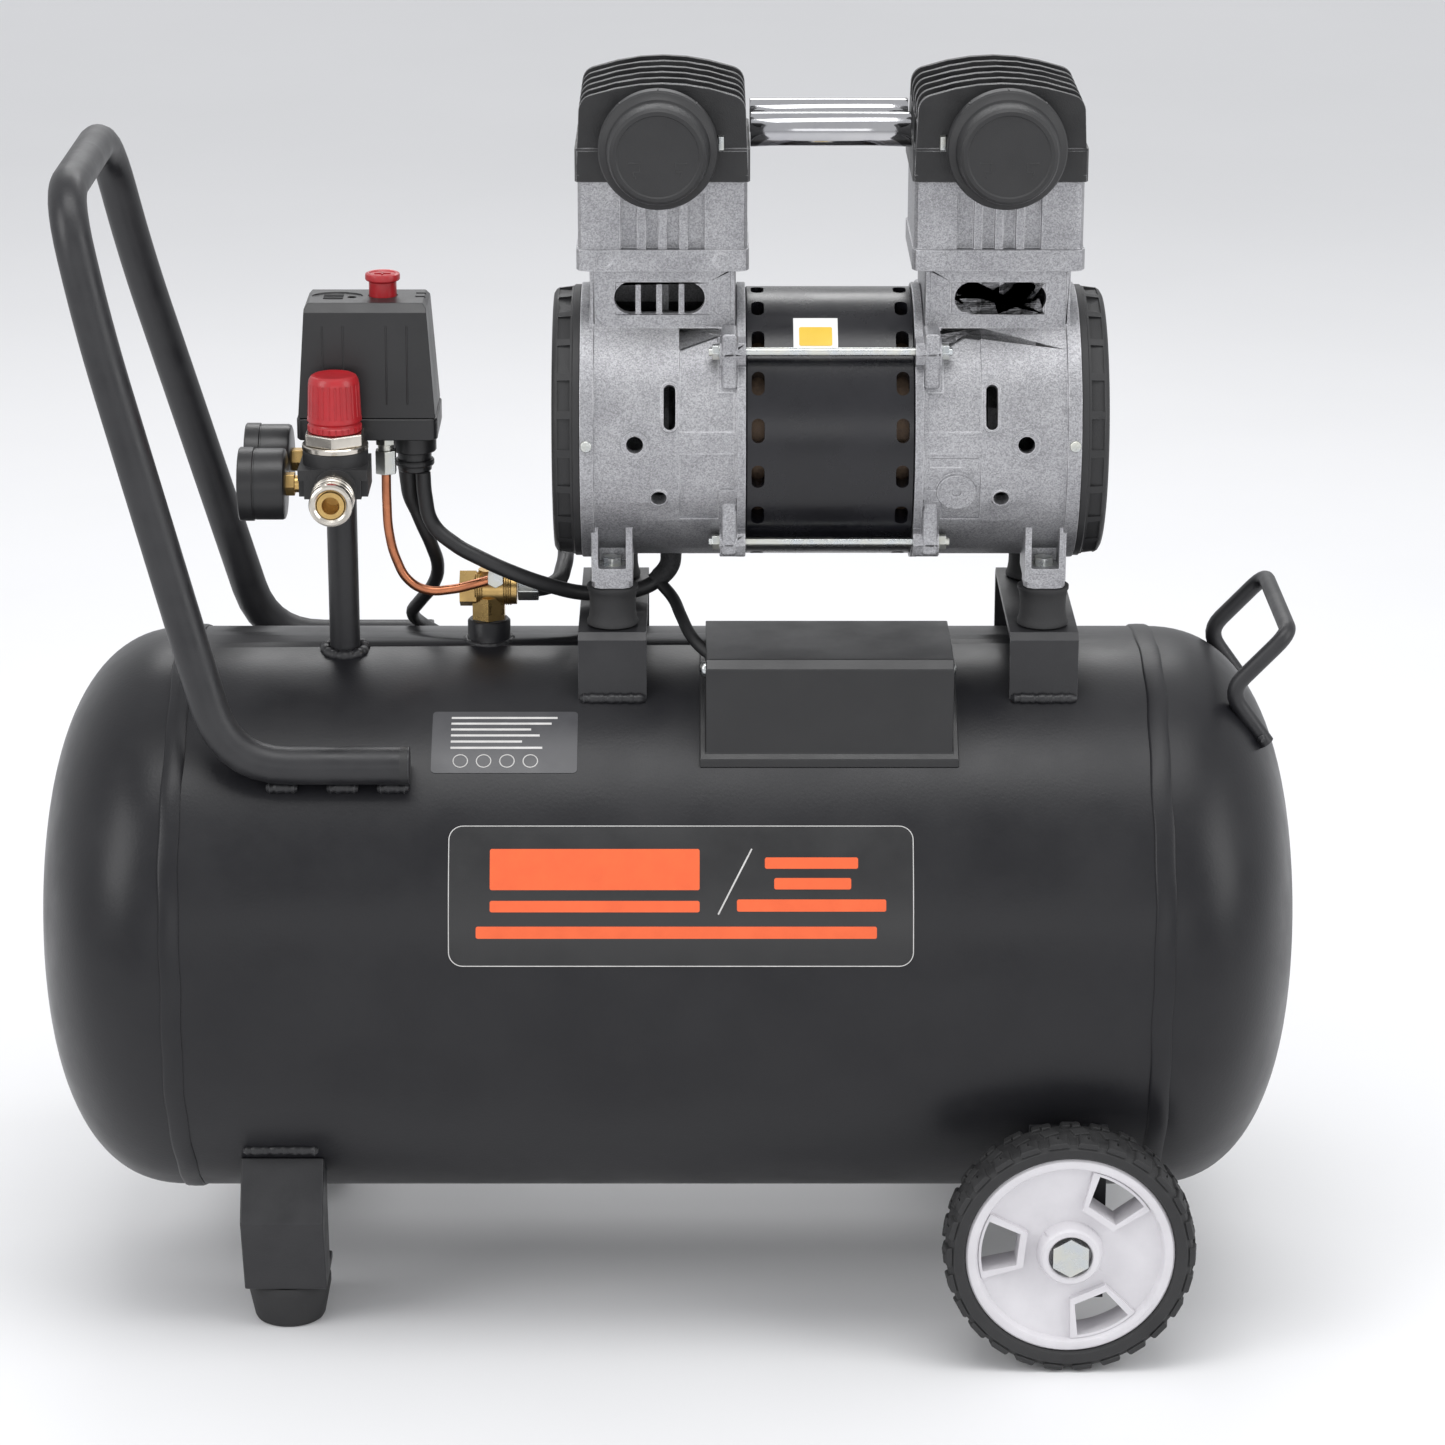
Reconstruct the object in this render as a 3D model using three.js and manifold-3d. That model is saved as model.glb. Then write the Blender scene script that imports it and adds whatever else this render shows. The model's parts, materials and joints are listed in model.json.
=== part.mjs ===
// Portable twin-pump air compressor: a welded tank on two wheels and two feet, carrying a
// motor with a pump at each end, a pressure switch, a regulator and their pipes and leads.
// Millimetres. X runs along the tank, the front is -Y, +Z is up, and Z = 0 is the ground.
import * as THREE from 'three';
import { mergeVertices } from 'three/addons/utils/BufferGeometryUtils.js';
import Module from 'manifold-3d';

const wasm = await Module();
wasm.setup();

// ---- Driving dimensions ----
const gap = 0.3;                    // left between faces that touch
const tankRadius = 170;
const tankShellLength = 576;        // between the two seams
const tankHeadDepth = 88;
const tankHeadSquareness = 2.5;     // 2 is an ellipse, larger is boxier
const tankWall = 3;
const groundClearance = 53.3;       // under the tank
const tankAxisHeight = tankRadius + groundClearance;
const wheelRadius = 74;
const wheelWidth = 33;
const wheelTankClearance = 2.6;
const wheelInset = 53;              // from the right-hand seam
const rimRadius = 61;
const boltRadius = 6;
const plateThickness = 5;
const footInset = 60;               // from the left-hand seam
const footWidth = 49;
const footHeight = 27;
const footTopRadius = 25;
const footBottomRadius = 21;
const pumpX = 94;                   // middle of the motor, along the tank
const motorInset = 0.5;             // how much smaller than the crankcase the motor is
const motorLength = 96.4;
const crankcaseLength = 95.5;
const crankcaseRadius = 79;
const castWall = 6;
const fanCoverDepth = 16;
const cylinderWidth = 99;
const cylinderDepth = 96;
const cylinderHeight = 51.5;
const cylinderBoreRadius = 30;
const neckRise = 20.5;              // top of the neck above the crankcase barrel
const headHeight = 57;
const pistonStroke = 16;
const shaftRadius = 8;
const isolatorHeight = 25;
const isolatorRadius = 15;
const saddleWidth = 40;
const saddleHalfLength = 71;
const saddleRise = 24.6;            // saddle top above the tank's crown
const saddleThickness = 4;
const handleTubeRadius = 11;
const liftRodRadius = 5;
const postX = -192;
const postY = -18;
const postRadius = 9;
const switchWidth = 82;
const switchDepth = 56;
const switchHeight = 80;
const switchRise = 130.6;           // underside of the switch above the tank's crown
const gaugeRadius = 21.5;
const gaugeDepth = 27;
const cordRadius = 4;
const coilTurnRadius = 48;

// ---- Sizes worked out from them. Heights are above the tank's axis ----
const tankHalfShell = tankShellLength / 2;
const footX = footInset - tankHalfShell;
const wheelX = tankHalfShell - wheelInset;
const tankBesideWheel = Math.sqrt(tankRadius ** 2 - (2 * wheelRadius - tankAxisHeight) ** 2);
const wheelCentreY = tankBesideWheel + wheelTankClearance + wheelWidth / 2;
const motorRadius = crankcaseRadius - motorInset;
const upperCaseTop = crankcaseRadius + neckRise;
const switchBottom = tankRadius + switchRise;
const saddleTop = tankRadius + saddleRise;
const lugThickness = 12;
const lugX = 126;
const lugY = 50;
const lugBottomBelowShaft = crankcaseRadius + 6.3;
const shaftHeight = saddleTop + isolatorHeight + lugBottomBelowShaft;
const crankInner = motorLength / 2 + gap;
const crankOuter = crankInner + crankcaseLength;
const cylinderX = (crankInner + crankOuter) / 2;
const cylinderTop = upperCaseTop + gap + cylinderHeight;
const headBottom = cylinderTop + gap;
const tieRodReach = crankcaseRadius + 6;
const tieRodAngle = THREE.MathUtils.degToRad(41.66);
const tieRodY = tieRodReach * Math.cos(tieRodAngle);
const tieRodZ = tieRodReach * Math.sin(tieRodAngle);
const tieLugLength = 15;
const switchX = postX + 17;
const switchY = postY + 13;

// ---- Materials ----
const finish = (color, roughness, metalness) => {
  return new THREE.MeshStandardMaterial({ color, roughness, metalness });
};
const blackPaint = finish(0x1b1b1e, 0.5, 0.3);
const blackPlastic = finish(0x18181a, 0.6, 0);
const castAluminium = finish(0xa9a9ad, 0.45, 0.8);
const headPaint = finish(0x0d0d0f, 0.45, 0.4);
const polishedTube = finish(0xd0d0d4, 0.15, 1);
const rubber = finish(0x1d1d1f, 0.85, 0);
const tyreRubber = finish(0x242428, 0.9, 0);
const rimPlastic = finish(0xd8d5da, 0.55, 0);
const zinc = finish(0xb9c4c6, 0.3, 0.9);
const redPlastic = finish(0xb80f1c, 0.4, 0);
const nickel = finish(0xb0a898, 0.3, 0.9);
const brass = finish(0xb28a3c, 0.35, 0.9);
const copper = finish(0xa64b2c, 0.35, 0.8);
const steel = finish(0x77797d, 0.4, 0.9);
const needlePaint = finish(0xc02018, 0.5, 0);

// ---- Making solids ----
const toSolid = (geometry) => {
  const bare = geometry.clone();
  bare.deleteAttribute('normal');
  bare.deleteAttribute('uv');
  const merged = mergeVertices(bare, 1e-4);
  const index = new Uint32Array(merged.index.array);
  const vertices = new Float32Array(merged.attributes.position.array);
  return new wasm.Manifold(new wasm.Mesh({ numProp: 3, vertProperties: vertices, triVerts: index }));
};
const toGeometry = (solid) => {
  const mesh = solid.getMesh();
  const geometry = new THREE.BufferGeometry();
  geometry.setAttribute('position', new THREE.BufferAttribute(new Float32Array(mesh.vertProperties), 3));
  geometry.setIndex(new THREE.BufferAttribute(new Uint32Array(mesh.triVerts), 1));
  geometry.computeVertexNormals();
  return geometry;
};
const join = (...solids) => solids.reduce((sum, solid) => sum.add(solid));
const cut = (solid, ...tools) => tools.reduce((rest, tool) => rest.subtract(tool), solid);

// A block given by its lowest and highest corners.
const block = (x0, y0, z0, x1, y1, z1) => {
  const geometry = new THREE.BoxGeometry(x1 - x0, y1 - y0, z1 - z0);
  geometry.translate((x0 + x1) / 2, (y0 + y1) / 2, (z0 + z1) / 2);
  return toSolid(geometry);
};
// Turns a geometry made about three.js's own Y axis so that its axis is X, Y or Z.
const alongAxis = (geometry, axis) => {
  if (axis === 'x') geometry.rotateZ(-Math.PI / 2);
  if (axis === 'z') geometry.rotateX(Math.PI / 2);
  return geometry;
};
// A round bar or hexagon between two places on an axis, at (u, v) on the other two axes.
const rod = (axis, from, to, radius, u = 0, v = 0, sides = 16, endRadius = radius) => {
  const geometry = new THREE.CylinderGeometry(endRadius, radius, to - from, sides);
  alongAxis(geometry, axis);
  const middle = (from + to) / 2;
  if (axis === 'x') geometry.translate(middle, u, v);
  if (axis === 'y') geometry.translate(u, middle, v);
  if (axis === 'z') geometry.translate(u, v, middle);
  return toSolid(geometry);
};
// A turned solid. The profile lists [radius, place along the axis], in either direction.
const turned = (axis, profile, sides = 32) => {
  const outline = profile.map(([radius, place]) => new THREE.Vector2(radius, place));
  if (THREE.ShapeUtils.area(outline) < 0) outline.reverse();
  return toSolid(alongAxis(new THREE.LatheGeometry(outline, sides), axis));
};
// A flat outline in XZ pushed out along Y, from y0 to y1.
const slabXZ = (shape, y0, y1, curveSegments = 8) => {
  const geometry = new THREE.ExtrudeGeometry(shape, { depth: y1 - y0, bevelEnabled: false, curveSegments });
  geometry.rotateX(Math.PI / 2);
  geometry.translate(0, y1, 0);
  return toSolid(geometry);
};
// A flat outline in YZ pushed out along X, from x0 to x1.
const slabYZ = (points, x0, x1) => {
  const shape = new THREE.Shape(points.map(([y, z]) => new THREE.Vector2(y, z)));
  const geometry = new THREE.ExtrudeGeometry(shape, { depth: x1 - x0, bevelEnabled: false });
  geometry.rotateX(Math.PI / 2);
  geometry.rotateZ(Math.PI / 2);
  geometry.translate(x0, 0, 0);
  return toSolid(geometry);
};
const roundedRectangle = (width, height, radius) => {
  const shape = new THREE.Shape();
  const w = width / 2;
  const h = height / 2;
  shape.moveTo(-w + radius, -h);
  shape.lineTo(w - radius, -h);
  shape.absarc(w - radius, -h + radius, radius, -Math.PI / 2, 0);
  shape.lineTo(w, h - radius);
  shape.absarc(w - radius, h - radius, radius, 0, Math.PI / 2);
  shape.lineTo(-w + radius, h);
  shape.absarc(-w + radius, h - radius, radius, Math.PI / 2, Math.PI);
  shape.lineTo(-w, -h + radius);
  shape.absarc(-w + radius, -h + radius, radius, Math.PI, Math.PI * 1.5);
  return shape;
};
// An upright block with rounded corners in plan.
const roundedBlock = (width, depth, radius, z0, z1, x = 0, y = 0) => {
  const shape = roundedRectangle(width, depth, radius);
  const geometry = new THREE.ExtrudeGeometry(shape, {
    depth: z1 - z0, bevelEnabled: false, curveSegments: 1,
  });
  geometry.translate(x, y, z0);
  return toSolid(geometry);
};
// An arc is drawn with two sides for each of its curve segments.
const circleShape = (radius) => {
  const shape = new THREE.Shape();
  shape.absarc(0, 0, radius, 0, Math.PI * 2);
  return shape;
};
const sweep = (curve, radius, steps, sides) => {
  const geometry = new THREE.ExtrudeGeometry(circleShape(radius), {
    steps, curveSegments: sides / 2, extrudePath: curve, bevelEnabled: false,
  });
  return toSolid(geometry);
};
const toVector = ([x, y, z]) => new THREE.Vector3(x, y, z);
// Straight runs joined by bends: each middle point has a bend that starts `bend` before it.
const bentPath = (points, bend) => {
  const path = new THREE.CurvePath();
  const corners = points.map(toVector);
  let from = corners[0];
  for (let i = 1; i < corners.length - 1; i += 1) {
    const into = corners[i].clone().lerp(corners[i - 1], bend / corners[i].distanceTo(corners[i - 1]));
    const out = corners[i].clone().lerp(corners[i + 1], bend / corners[i].distanceTo(corners[i + 1]));
    path.add(new THREE.LineCurve3(from, into));
    path.add(new THREE.QuadraticBezierCurve3(into, corners[i], out));
    from = out;
  }
  path.add(new THREE.LineCurve3(from, corners[corners.length - 1]));
  return path;
};
// Points whose heights are given above the top of the tank.
const aboveCrown = (points) => points.map(([x, y, z]) => [x, y, tankRadius + z]);
const smoothPath = (points) => new THREE.CatmullRomCurve3(points.map(toVector), false, 'centripetal');

const model = new THREE.Group();
const place = (parent, name, solid, material, x = 0, y = 0, z = 0) => {
  const mesh = new THREE.Mesh(toGeometry(solid), material);
  mesh.name = name;
  mesh.position.set(x, y, z);
  parent.add(mesh);
  return mesh;
};
const groupAt = (x, y, z) => {
  const group = new THREE.Group();
  group.position.set(x, y, z);
  model.add(group);
  return group;
};

// ---- Tank ----
// Radius of a head at a distance beyond its seam, for a head that is `inset` smaller all round.
const headRadius = (beyond, inset) => {
  const share = Math.min(1, beyond / (tankHeadDepth - inset));
  return (tankRadius - inset) * (1 - share ** tankHeadSquareness) ** (1 / tankHeadSquareness);
};
// Half an outline of the tank, from the pole to the right seam.
const headProfile = (inset, steps) => {
  const points = [];
  for (let i = steps; i >= 0; i -= 1) {
    const beyond = (tankHeadDepth - inset) * Math.sin((Math.PI / 2) * (i / steps)) ** 0.8;
    points.push([i === steps ? 0 : headRadius(beyond, inset), tankHalfShell + beyond]);
  }
  return points;
};
const tankBody = (inset, steps, sides) => {
  const right = headProfile(inset, steps);
  const left = right.map(([radius, along]) => [radius, -along]);
  return turned('x', [...left, ...right.reverse()], sides);
};
// What stands on the tank is cut to this outline.
const tankClearance = tankBody(-gap, 6, 44);
const portX = -107;
const portRadius = 13;
const portRise = 13;
const drainRadius = 9;
const drainReach = 9;
const makeTank = () => {
  const port = rod('z', tankRadius - 8, tankRadius + portRise, portRadius, portX, 0, 20);
  const drain = rod('z', -tankRadius - drainReach, -tankRadius + 8, drainRadius, 0, 0, 6);
  const outer = join(tankBody(0, 6, 44), port, drain);
  const portBore = rod('z', tankRadius - 20, tankRadius + portRise + 1, 6, portX, 0, 12);
  return cut(outer, tankBody(tankWall, 4, 24), portBore);
};
const tankGroup = groupAt(0, 0, tankAxisHeight);
place(tankGroup, 'tank', makeTank(), blackPaint);
const fitToTank = (solid) => cut(solid, tankClearance);

// ---- Feet: bent steel brackets with rubber bumpers under them ----
const footBumperY = 107;
const footPlateBendY = 148;
const footPlateBendZ = -146.5;
const footPlateTopZ = -104;
const makeFootBracket = (side) => {
  const t = plateThickness;
  const low = footHeight + gap - tankAxisHeight;
  const toe = -footBumperY - footTopRadius;
  const heel = -footBumperY + footTopRadius - 5;
  const outline = [
    [-124, footPlateTopZ], [-footPlateBendY, footPlateBendZ], [toe, low], [heel, low], [heel, low + t],
    [toe + t, low + t], [-footPlateBendY + t + 1, footPlateBendZ], [-124 + t + 1, footPlateTopZ],
  ];
  const web = [[-124, footPlateTopZ], [-footPlateBendY, footPlateBendZ], [toe, low], [heel - 18, low],
    [heel - 24, footPlateBendZ], [heel - 20, footPlateTopZ]];
  const inner = footX + footWidth / 2;
  const strip = slabYZ(outline, footX - footWidth / 2, inner);
  const gusset = slabYZ(web, inner - t, inner);
  const bracket = fitToTank(join(strip, gusset));
  return side > 0 ? bracket.mirror([0, 1, 0]) : bracket;
};
const makeFootBumper = () => turned('z', [
  [0, 0], [footBottomRadius - 2, 0], [footBottomRadius, 2], [footTopRadius, footHeight - 6],
  [footTopRadius, footHeight], [0, footHeight],
], 24);
for (const [end, side] of [['front', -1], ['rear', 1]]) {
  place(tankGroup, `foot_bracket_${end}`, makeFootBracket(side), blackPaint);
  place(model, `rubber_foot_${end}`, makeFootBumper(), rubber, footX, side * footBumperY, 0);
}

// ---- Wheels ----
const wheelPlateY = wheelCentreY - wheelWidth / 2 - 6;     // outer face of the plate the bolt goes through
const wheelPlateWidth = 46;
const wheelPlateFoot = wheelRadius - tankAxisHeight - 43.7;
const makeWheelBracket = (side) => {
  const outer = side * wheelPlateY;
  const inner = side * (wheelPlateY - plateThickness);
  const half = wheelPlateWidth / 2;
  const front = Math.min(outer, inner);
  const plate = block(wheelX - half, front, wheelPlateFoot, wheelX + half, front + plateThickness, -70);
  const holeZ = wheelRadius - tankAxisHeight;
  const hole = rod('y', front - 1, front + plateThickness + 1, boltRadius + gap, wheelX, holeZ, 16);
  return fitToTank(cut(plate, hole));
};
const windowCount = 3;
const windowHalfAngle = THREE.MathUtils.degToRad(18);
const makeRim = () => {
  const half = wheelWidth / 2;
  const hubRadius = 17.5;
  const rimTube = turned('y', [
    [54, half - 3], [rimRadius, half - 3], [rimRadius, -half + 3], [54, -half + 3], [54, half - 3],
  ], 32);
  const web = turned('y', [[0, 8], [56, 8], [56, -8], [0, -8]], 32);
  const hub = rod('y', -half, half, hubRadius, 0, 0, 20);
  let rim = join(rimTube, web, hub);
  for (let i = 0; i < windowCount; i += 1) {
    const middle = THREE.MathUtils.degToRad(54) + (i / windowCount) * Math.PI * 2;
    const opening = new THREE.Shape();
    opening.absarc(0, 0, 52, middle - windowHalfAngle, middle + windowHalfAngle, false);
    opening.lineTo(32 * Math.cos(middle + windowHalfAngle), 32 * Math.sin(middle + windowHalfAngle));
    opening.lineTo(32 * Math.cos(middle - windowHalfAngle), 32 * Math.sin(middle - windowHalfAngle));
    rim = cut(rim, slabXZ(opening, -half, half, 2));
  }
  const bore = rod('y', -half - 1, half + 1, boltRadius + gap, 0, 0, 16);
  const recess = rod('y', -half - 1, -half + 9, 12.8, 0, 0, 20);
  return cut(rim, bore, recess);
};
const makeTyre = () => {
  const half = wheelWidth / 2;
  const seat = rimRadius + gap;
  return turned('y', [
    [seat, half - 3], [wheelRadius - 3, half], [wheelRadius, half - 4], [wheelRadius, -half + 4],
    [wheelRadius - 3, -half], [seat, -half + 3], [seat, half - 3],
  ], 36);
};
// Made for the front wheel: hex head in the hub recess, shank through hub and plate, nut behind.
const makeWheelBolt = () => {
  const half = wheelWidth / 2;
  const plateBack = wheelCentreY - wheelPlateY + plateThickness;
  const head = rod('y', -half - 1, -half + 8.5, 12.1, 0, 0, 6);
  const shank = rod('y', -half, plateBack + 6, boltRadius, 0, 0, 16);
  const collar = rod('y', half + gap, wheelCentreY - wheelPlateY - gap, 9, 0, 0, 16);
  const nut = rod('y', plateBack + gap, plateBack + 8, 10, 0, 0, 6);
  return join(head, shank, collar, nut);
};
for (const [end, side] of [['front', -1], ['rear', 1]]) {
  place(tankGroup, `wheel_bracket_${end}`, makeWheelBracket(side), blackPaint);
  const wheel = groupAt(wheelX, side * wheelCentreY, wheelRadius);
  wheel.rotation.z = side > 0 ? Math.PI : 0;
  place(wheel, `wheel_rim_${end}`, makeRim(), rimPlastic);
  place(wheel, `wheel_tyre_${end}`, makeTyre(), tyreRubber);
  place(wheel, `wheel_bolt_${end}`, makeWheelBolt(), zinc);
}

// ---- Handles ----
const handleSeat = tankRadius + handleTubeRadius + gap;
const handleSeatZ = tankRadius - 38;
const handleSeatY = Math.sqrt(handleSeat ** 2 - handleSeatZ ** 2) + 0.5;
const makeHandle = () => {
  const leg = (side) => [
    [140 - tankHalfShell, side * handleSeatY, handleSeatZ],
    [35 - tankHalfShell, side * handleSeatY, handleSeatZ],
    [-34 - tankHalfShell, side * 100, tankRadius + 212],
    [-50 - tankHalfShell, side * 92, tankRadius + 288],
  ];
  const points = [...leg(-1), ...leg(1).reverse()];
  return sweep(bentPath(points, 36), handleTubeRadius, 44, 10);
};
place(tankGroup, 'handle', makeHandle(), blackPaint);
const liftHalfWidth = 60;
const makeLiftHandle = () => {
  const leg = (side) => [
    [tankHalfShell + 65, side * liftHalfWidth, tankRadius - 46],
    [tankHalfShell + 42, side * liftHalfWidth, tankRadius - 14],
    [tankHalfShell + 76, side * liftHalfWidth, tankRadius + 22],
  ];
  const points = [...leg(-1), ...leg(1).reverse()];
  return fitToTank(sweep(bentPath(points, 12), liftRodRadius, 28, 8));
};
place(tankGroup, 'lift_handle', makeLiftHandle(), blackPaint);

// ---- Saddles that carry the pump, and their rubber mounts ----
const saddleFoot = 140;
const makeSaddle = (x) => {
  const half = saddleWidth / 2;
  const t = saddleThickness;
  const outline = [
    [-saddleHalfLength, saddleFoot], [-saddleHalfLength, saddleTop - t], [-saddleHalfLength + t, saddleTop],
    [saddleHalfLength - t, saddleTop], [saddleHalfLength, saddleTop - t], [saddleHalfLength, saddleFoot],
    [saddleHalfLength - t, saddleFoot], [saddleHalfLength - t, saddleTop - t],
    [-saddleHalfLength + t, saddleTop - t], [-saddleHalfLength + t, saddleFoot],
  ];
  return fitToTank(slabYZ(outline, x - half, x + half));
};
const makeIsolator = () => {
  const top = isolatorHeight - gap;
  const waist = isolatorHeight / 2;
  return turned('z', [
    [0, gap], [isolatorRadius, gap], [isolatorRadius - 1.2, waist], [isolatorRadius, top], [0, top],
  ], 20);
};
for (const [name, side] of [['left', -1], ['right', 1]]) {
  const x = pumpX + side * lugX;
  place(tankGroup, `saddle_${name}`, makeSaddle(x), blackPaint);
  place(tankGroup, `isolator_${name}_front`, makeIsolator(), rubber, x, -lugY, saddleTop);
  place(tankGroup, `isolator_${name}_rear`, makeIsolator(), rubber, x, lugY, saddleTop);
}

// ---- Motor and pumps. Everything here is about the shaft, and made for the right-hand end ----
const pump = new THREE.Group();
pump.position.set(pumpX, 0, shaftHeight);
tankGroup.add(pump);
const statorBoreRadius = 50;
const makeMotorShell = () => {
  const half = motorLength / 2;
  return turned('x', [
    [statorBoreRadius, half], [statorBoreRadius, -half], [motorRadius, -half], [motorRadius, half],
    [statorBoreRadius, half],
  ], 40);
};
const neckWidth = 84;
const neckDepth = 87;
const rimFlange = 2;
const rimFlangeWidth = 8;
const rearRimWidth = 5;
const makeCrankcase = () => {
  const barrel = rod('x', crankInner, crankOuter, crankcaseRadius, 0, 0, 32);
  const innerRim = rod('x', crankInner, crankInner + rearRimWidth, crankcaseRadius + rimFlange, 0, 0, 32);
  const outerRim = rod('x', crankOuter - rimFlangeWidth, crankOuter, crankcaseRadius + rimFlange, 0, 0, 32);
  const neck = roundedBlock(neckWidth, neckDepth, 3, 0, upperCaseTop, cylinderX, 0);
  let casting = join(barrel, innerRim, outerRim, neck);
  for (const y of [-1, 1]) {
    for (const z of [-1, 1]) {
      const lugEnd = crankInner + tieLugLength;
      casting = casting.add(rod('x', crankInner, lugEnd, 9, y * tieRodY, z * tieRodZ, 8));
    }
    const lugTop = -lugBottomBelowShaft + lugThickness;
    const pad = roundedBlock(24, 26, 6, -lugBottomBelowShaft, lugTop, lugX, y * lugY);
    const ribY = y * (lugY - 6);
    const ribEnd = ribY - y * 14;
    const rib = block(
      lugX - 12, Math.min(ribY, ribEnd), lugTop - 2, lugX + 12, Math.max(ribY, ribEnd), -40,
    );
    const cheekNear = y > 0 ? lugY - 26 : -lugY - 12;
    const cheek = (x) => {
      const low = -lugBottomBelowShaft + 4;
      return block(x - 2, cheekNear, low, x + 2, cheekNear + 38, -44);
    };
    casting = join(casting, pad, rib, cheek(lugX - 10), cheek(lugX + 10));
  }
  const inside = crankcaseRadius - castWall;
  const chamber = rod('x', crankInner - 1, crankOuter - castWall, inside, 0, 0, 32);
  const neckRoom = block(
    cylinderX - neckWidth / 2 + castWall, -neckDepth / 2 + castWall, 0,
    cylinderX + neckWidth / 2 - castWall, neckDepth / 2 - castWall, upperCaseTop - castWall,
  );
  const throat = rod('z', upperCaseTop - castWall - 1, upperCaseTop + 1, cylinderBoreRadius + 1, cylinderX, 0, 24);
  const shaftHole = rod('x', crankOuter - castWall - 1, crankOuter + 1, shaftRadius + 4, 0, 0, 20);
  casting = cut(casting, chamber, neckRoom, throat, shaftHole);
  for (const y of [-1, 1]) {
    for (const z of [-1, 1]) {
      const reach = crankInner + tieLugLength + 1;
      casting = casting.subtract(rod('x', crankInner - 1, reach, 3.2, y * tieRodY, z * tieRodZ, 6));
    }
  }
  // Air windows in the neck, front and back.
  const windowZ = upperCaseTop - 16.5;
  const outerY = neckDepth / 2 + 1;
  const innerY = neckDepth / 2 - castWall - 1;
  for (const [y0, y1] of [[-outerY, -innerY], [innerY, outerY]]) {
    const window = block(cylinderX - 26, y0, windowZ - 9, cylinderX + 26, y1, windowZ + 9);
    casting = casting.subtract(window);
  }
  return casting;
};
const makeFanCover = () => {
  const inner = crankOuter + gap;
  const outer = inner + fanCoverDepth;
  const shell = turned('x', [
    [crankcaseRadius - 4, inner], [crankcaseRadius + 1, inner], [crankcaseRadius + 1, inner + 4],
    [crankcaseRadius - 1, outer - 2], [crankcaseRadius - 4, outer], [0, outer], [0, outer - 3],
    [crankcaseRadius - 4, outer - 3], [crankcaseRadius - 4, inner],
  ], 32);
  const openings = [];
  const openingCount = 8;
  for (let i = 0; i < openingCount; i += 1) {
    const middle = (i / openingCount) * Math.PI * 2;
    const shape = new THREE.Shape();
    shape.absarc(0, 0, 66, middle - 0.29, middle + 0.29, false);
    shape.absarc(0, 0, 26, middle + 0.22, middle - 0.22, true);
    const geometry = new THREE.ExtrudeGeometry(shape, { depth: 10, bevelEnabled: false, curveSegments: 1 });
    geometry.rotateY(Math.PI / 2);
    geometry.translate(outer - 6, 0, 0);
    openings.push(toSolid(geometry));
  }
  return cut(shell, ...openings);
};
const makeCylinder = () => {
  const low = upperCaseTop + gap;
  const flangeHeight = 12.5;
  const barrel = roundedBlock(cylinderWidth - 2, cylinderDepth - 4, 6, low, cylinderTop, cylinderX, 0);
  const flange = roundedBlock(cylinderWidth, cylinderDepth, 6, low, low + flangeHeight, cylinderX, 0);
  let casting = join(barrel, flange);
  // Panels sunk into the front and back, each crossed by three upright ribs.
  for (const y of [-1, 1]) {
    for (const [from, to] of [[-24, -14.5], [-9.5, -2.5], [2.5, 9.5], [14.5, 24]]) {
      const face = y * (cylinderDepth / 2 - 2);
      const sunk = block(
        cylinderX + from, Math.min(face - y * 4, face + y), low + flangeHeight,
        cylinderX + to, Math.max(face - y * 4, face + y), cylinderTop - 6,
      );
      casting = casting.subtract(sunk);
    }
  }
  return cut(casting, rod('z', low - 1, cylinderTop + 1, cylinderBoreRadius, cylinderX, 0, 28));
};
const headBandHeight = 19;
const filterBossReach = 8;
const filterX = 98.5;
const filterZ = headBottom + 22.1;
const headFinCount = 6;
const makeCylinderHead = () => {
  const top = headBottom + headHeight;
  const crownDrop = 8.5;
  const half = cylinderWidth / 2;
  const bandTop = headBottom + headBandHeight;
  const band = roundedBlock(cylinderWidth + 1, cylinderDepth + 1, 4, headBottom, bandTop, cylinderX, 0);
  // The arched outline that every fin shares.
  const arch = new THREE.Shape();
  arch.moveTo(cylinderX - half + 0.5, headBottom + 4);
  arch.lineTo(cylinderX + half - 0.5, headBottom + 4);
  arch.lineTo(cylinderX + half - 2, top - crownDrop - 7);
  arch.quadraticCurveTo(cylinderX + half - 3, top - crownDrop, cylinderX + half - 10, top - crownDrop + 1.5);
  arch.quadraticCurveTo(cylinderX, top + crownDrop - 2.5, cylinderX - half + 10, top - crownDrop + 1.5);
  arch.quadraticCurveTo(cylinderX - half + 3, top - crownDrop, cylinderX - half + 2, top - crownDrop - 7);
  const depth = cylinderDepth / 2;
  let casting = join(band, slabXZ(arch, -depth, depth, 6));
  const pitch = (cylinderDepth - 4) / (headFinCount - 1);
  for (let i = 0; i < headFinCount - 1; i += 1) {
    const from = -depth + 4 + i * pitch;
    const to = from + pitch - 4;
    casting = casting.subtract(block(cylinderX - half - 1, from, top - 24, cylinderX + half + 1, to, top + 5));
  }
  const boss = rod('y', -depth - filterBossReach, -depth + 2, 15, filterX, filterZ, 24);
  return casting.add(boss);
};
const makeFilterCap = () => {
  const back = -cylinderDepth / 2 - filterBossReach - gap;
  return turned('y', [
    [0, back], [32, back], [34, back - 3], [34, back - 12], [30, back - 15], [28.5, back - 17],
    [27.5, back - 29], [25.5, back - 32], [0, back - 31.5],
  ], 28).translate([filterX, 0, filterZ]);
};
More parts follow.
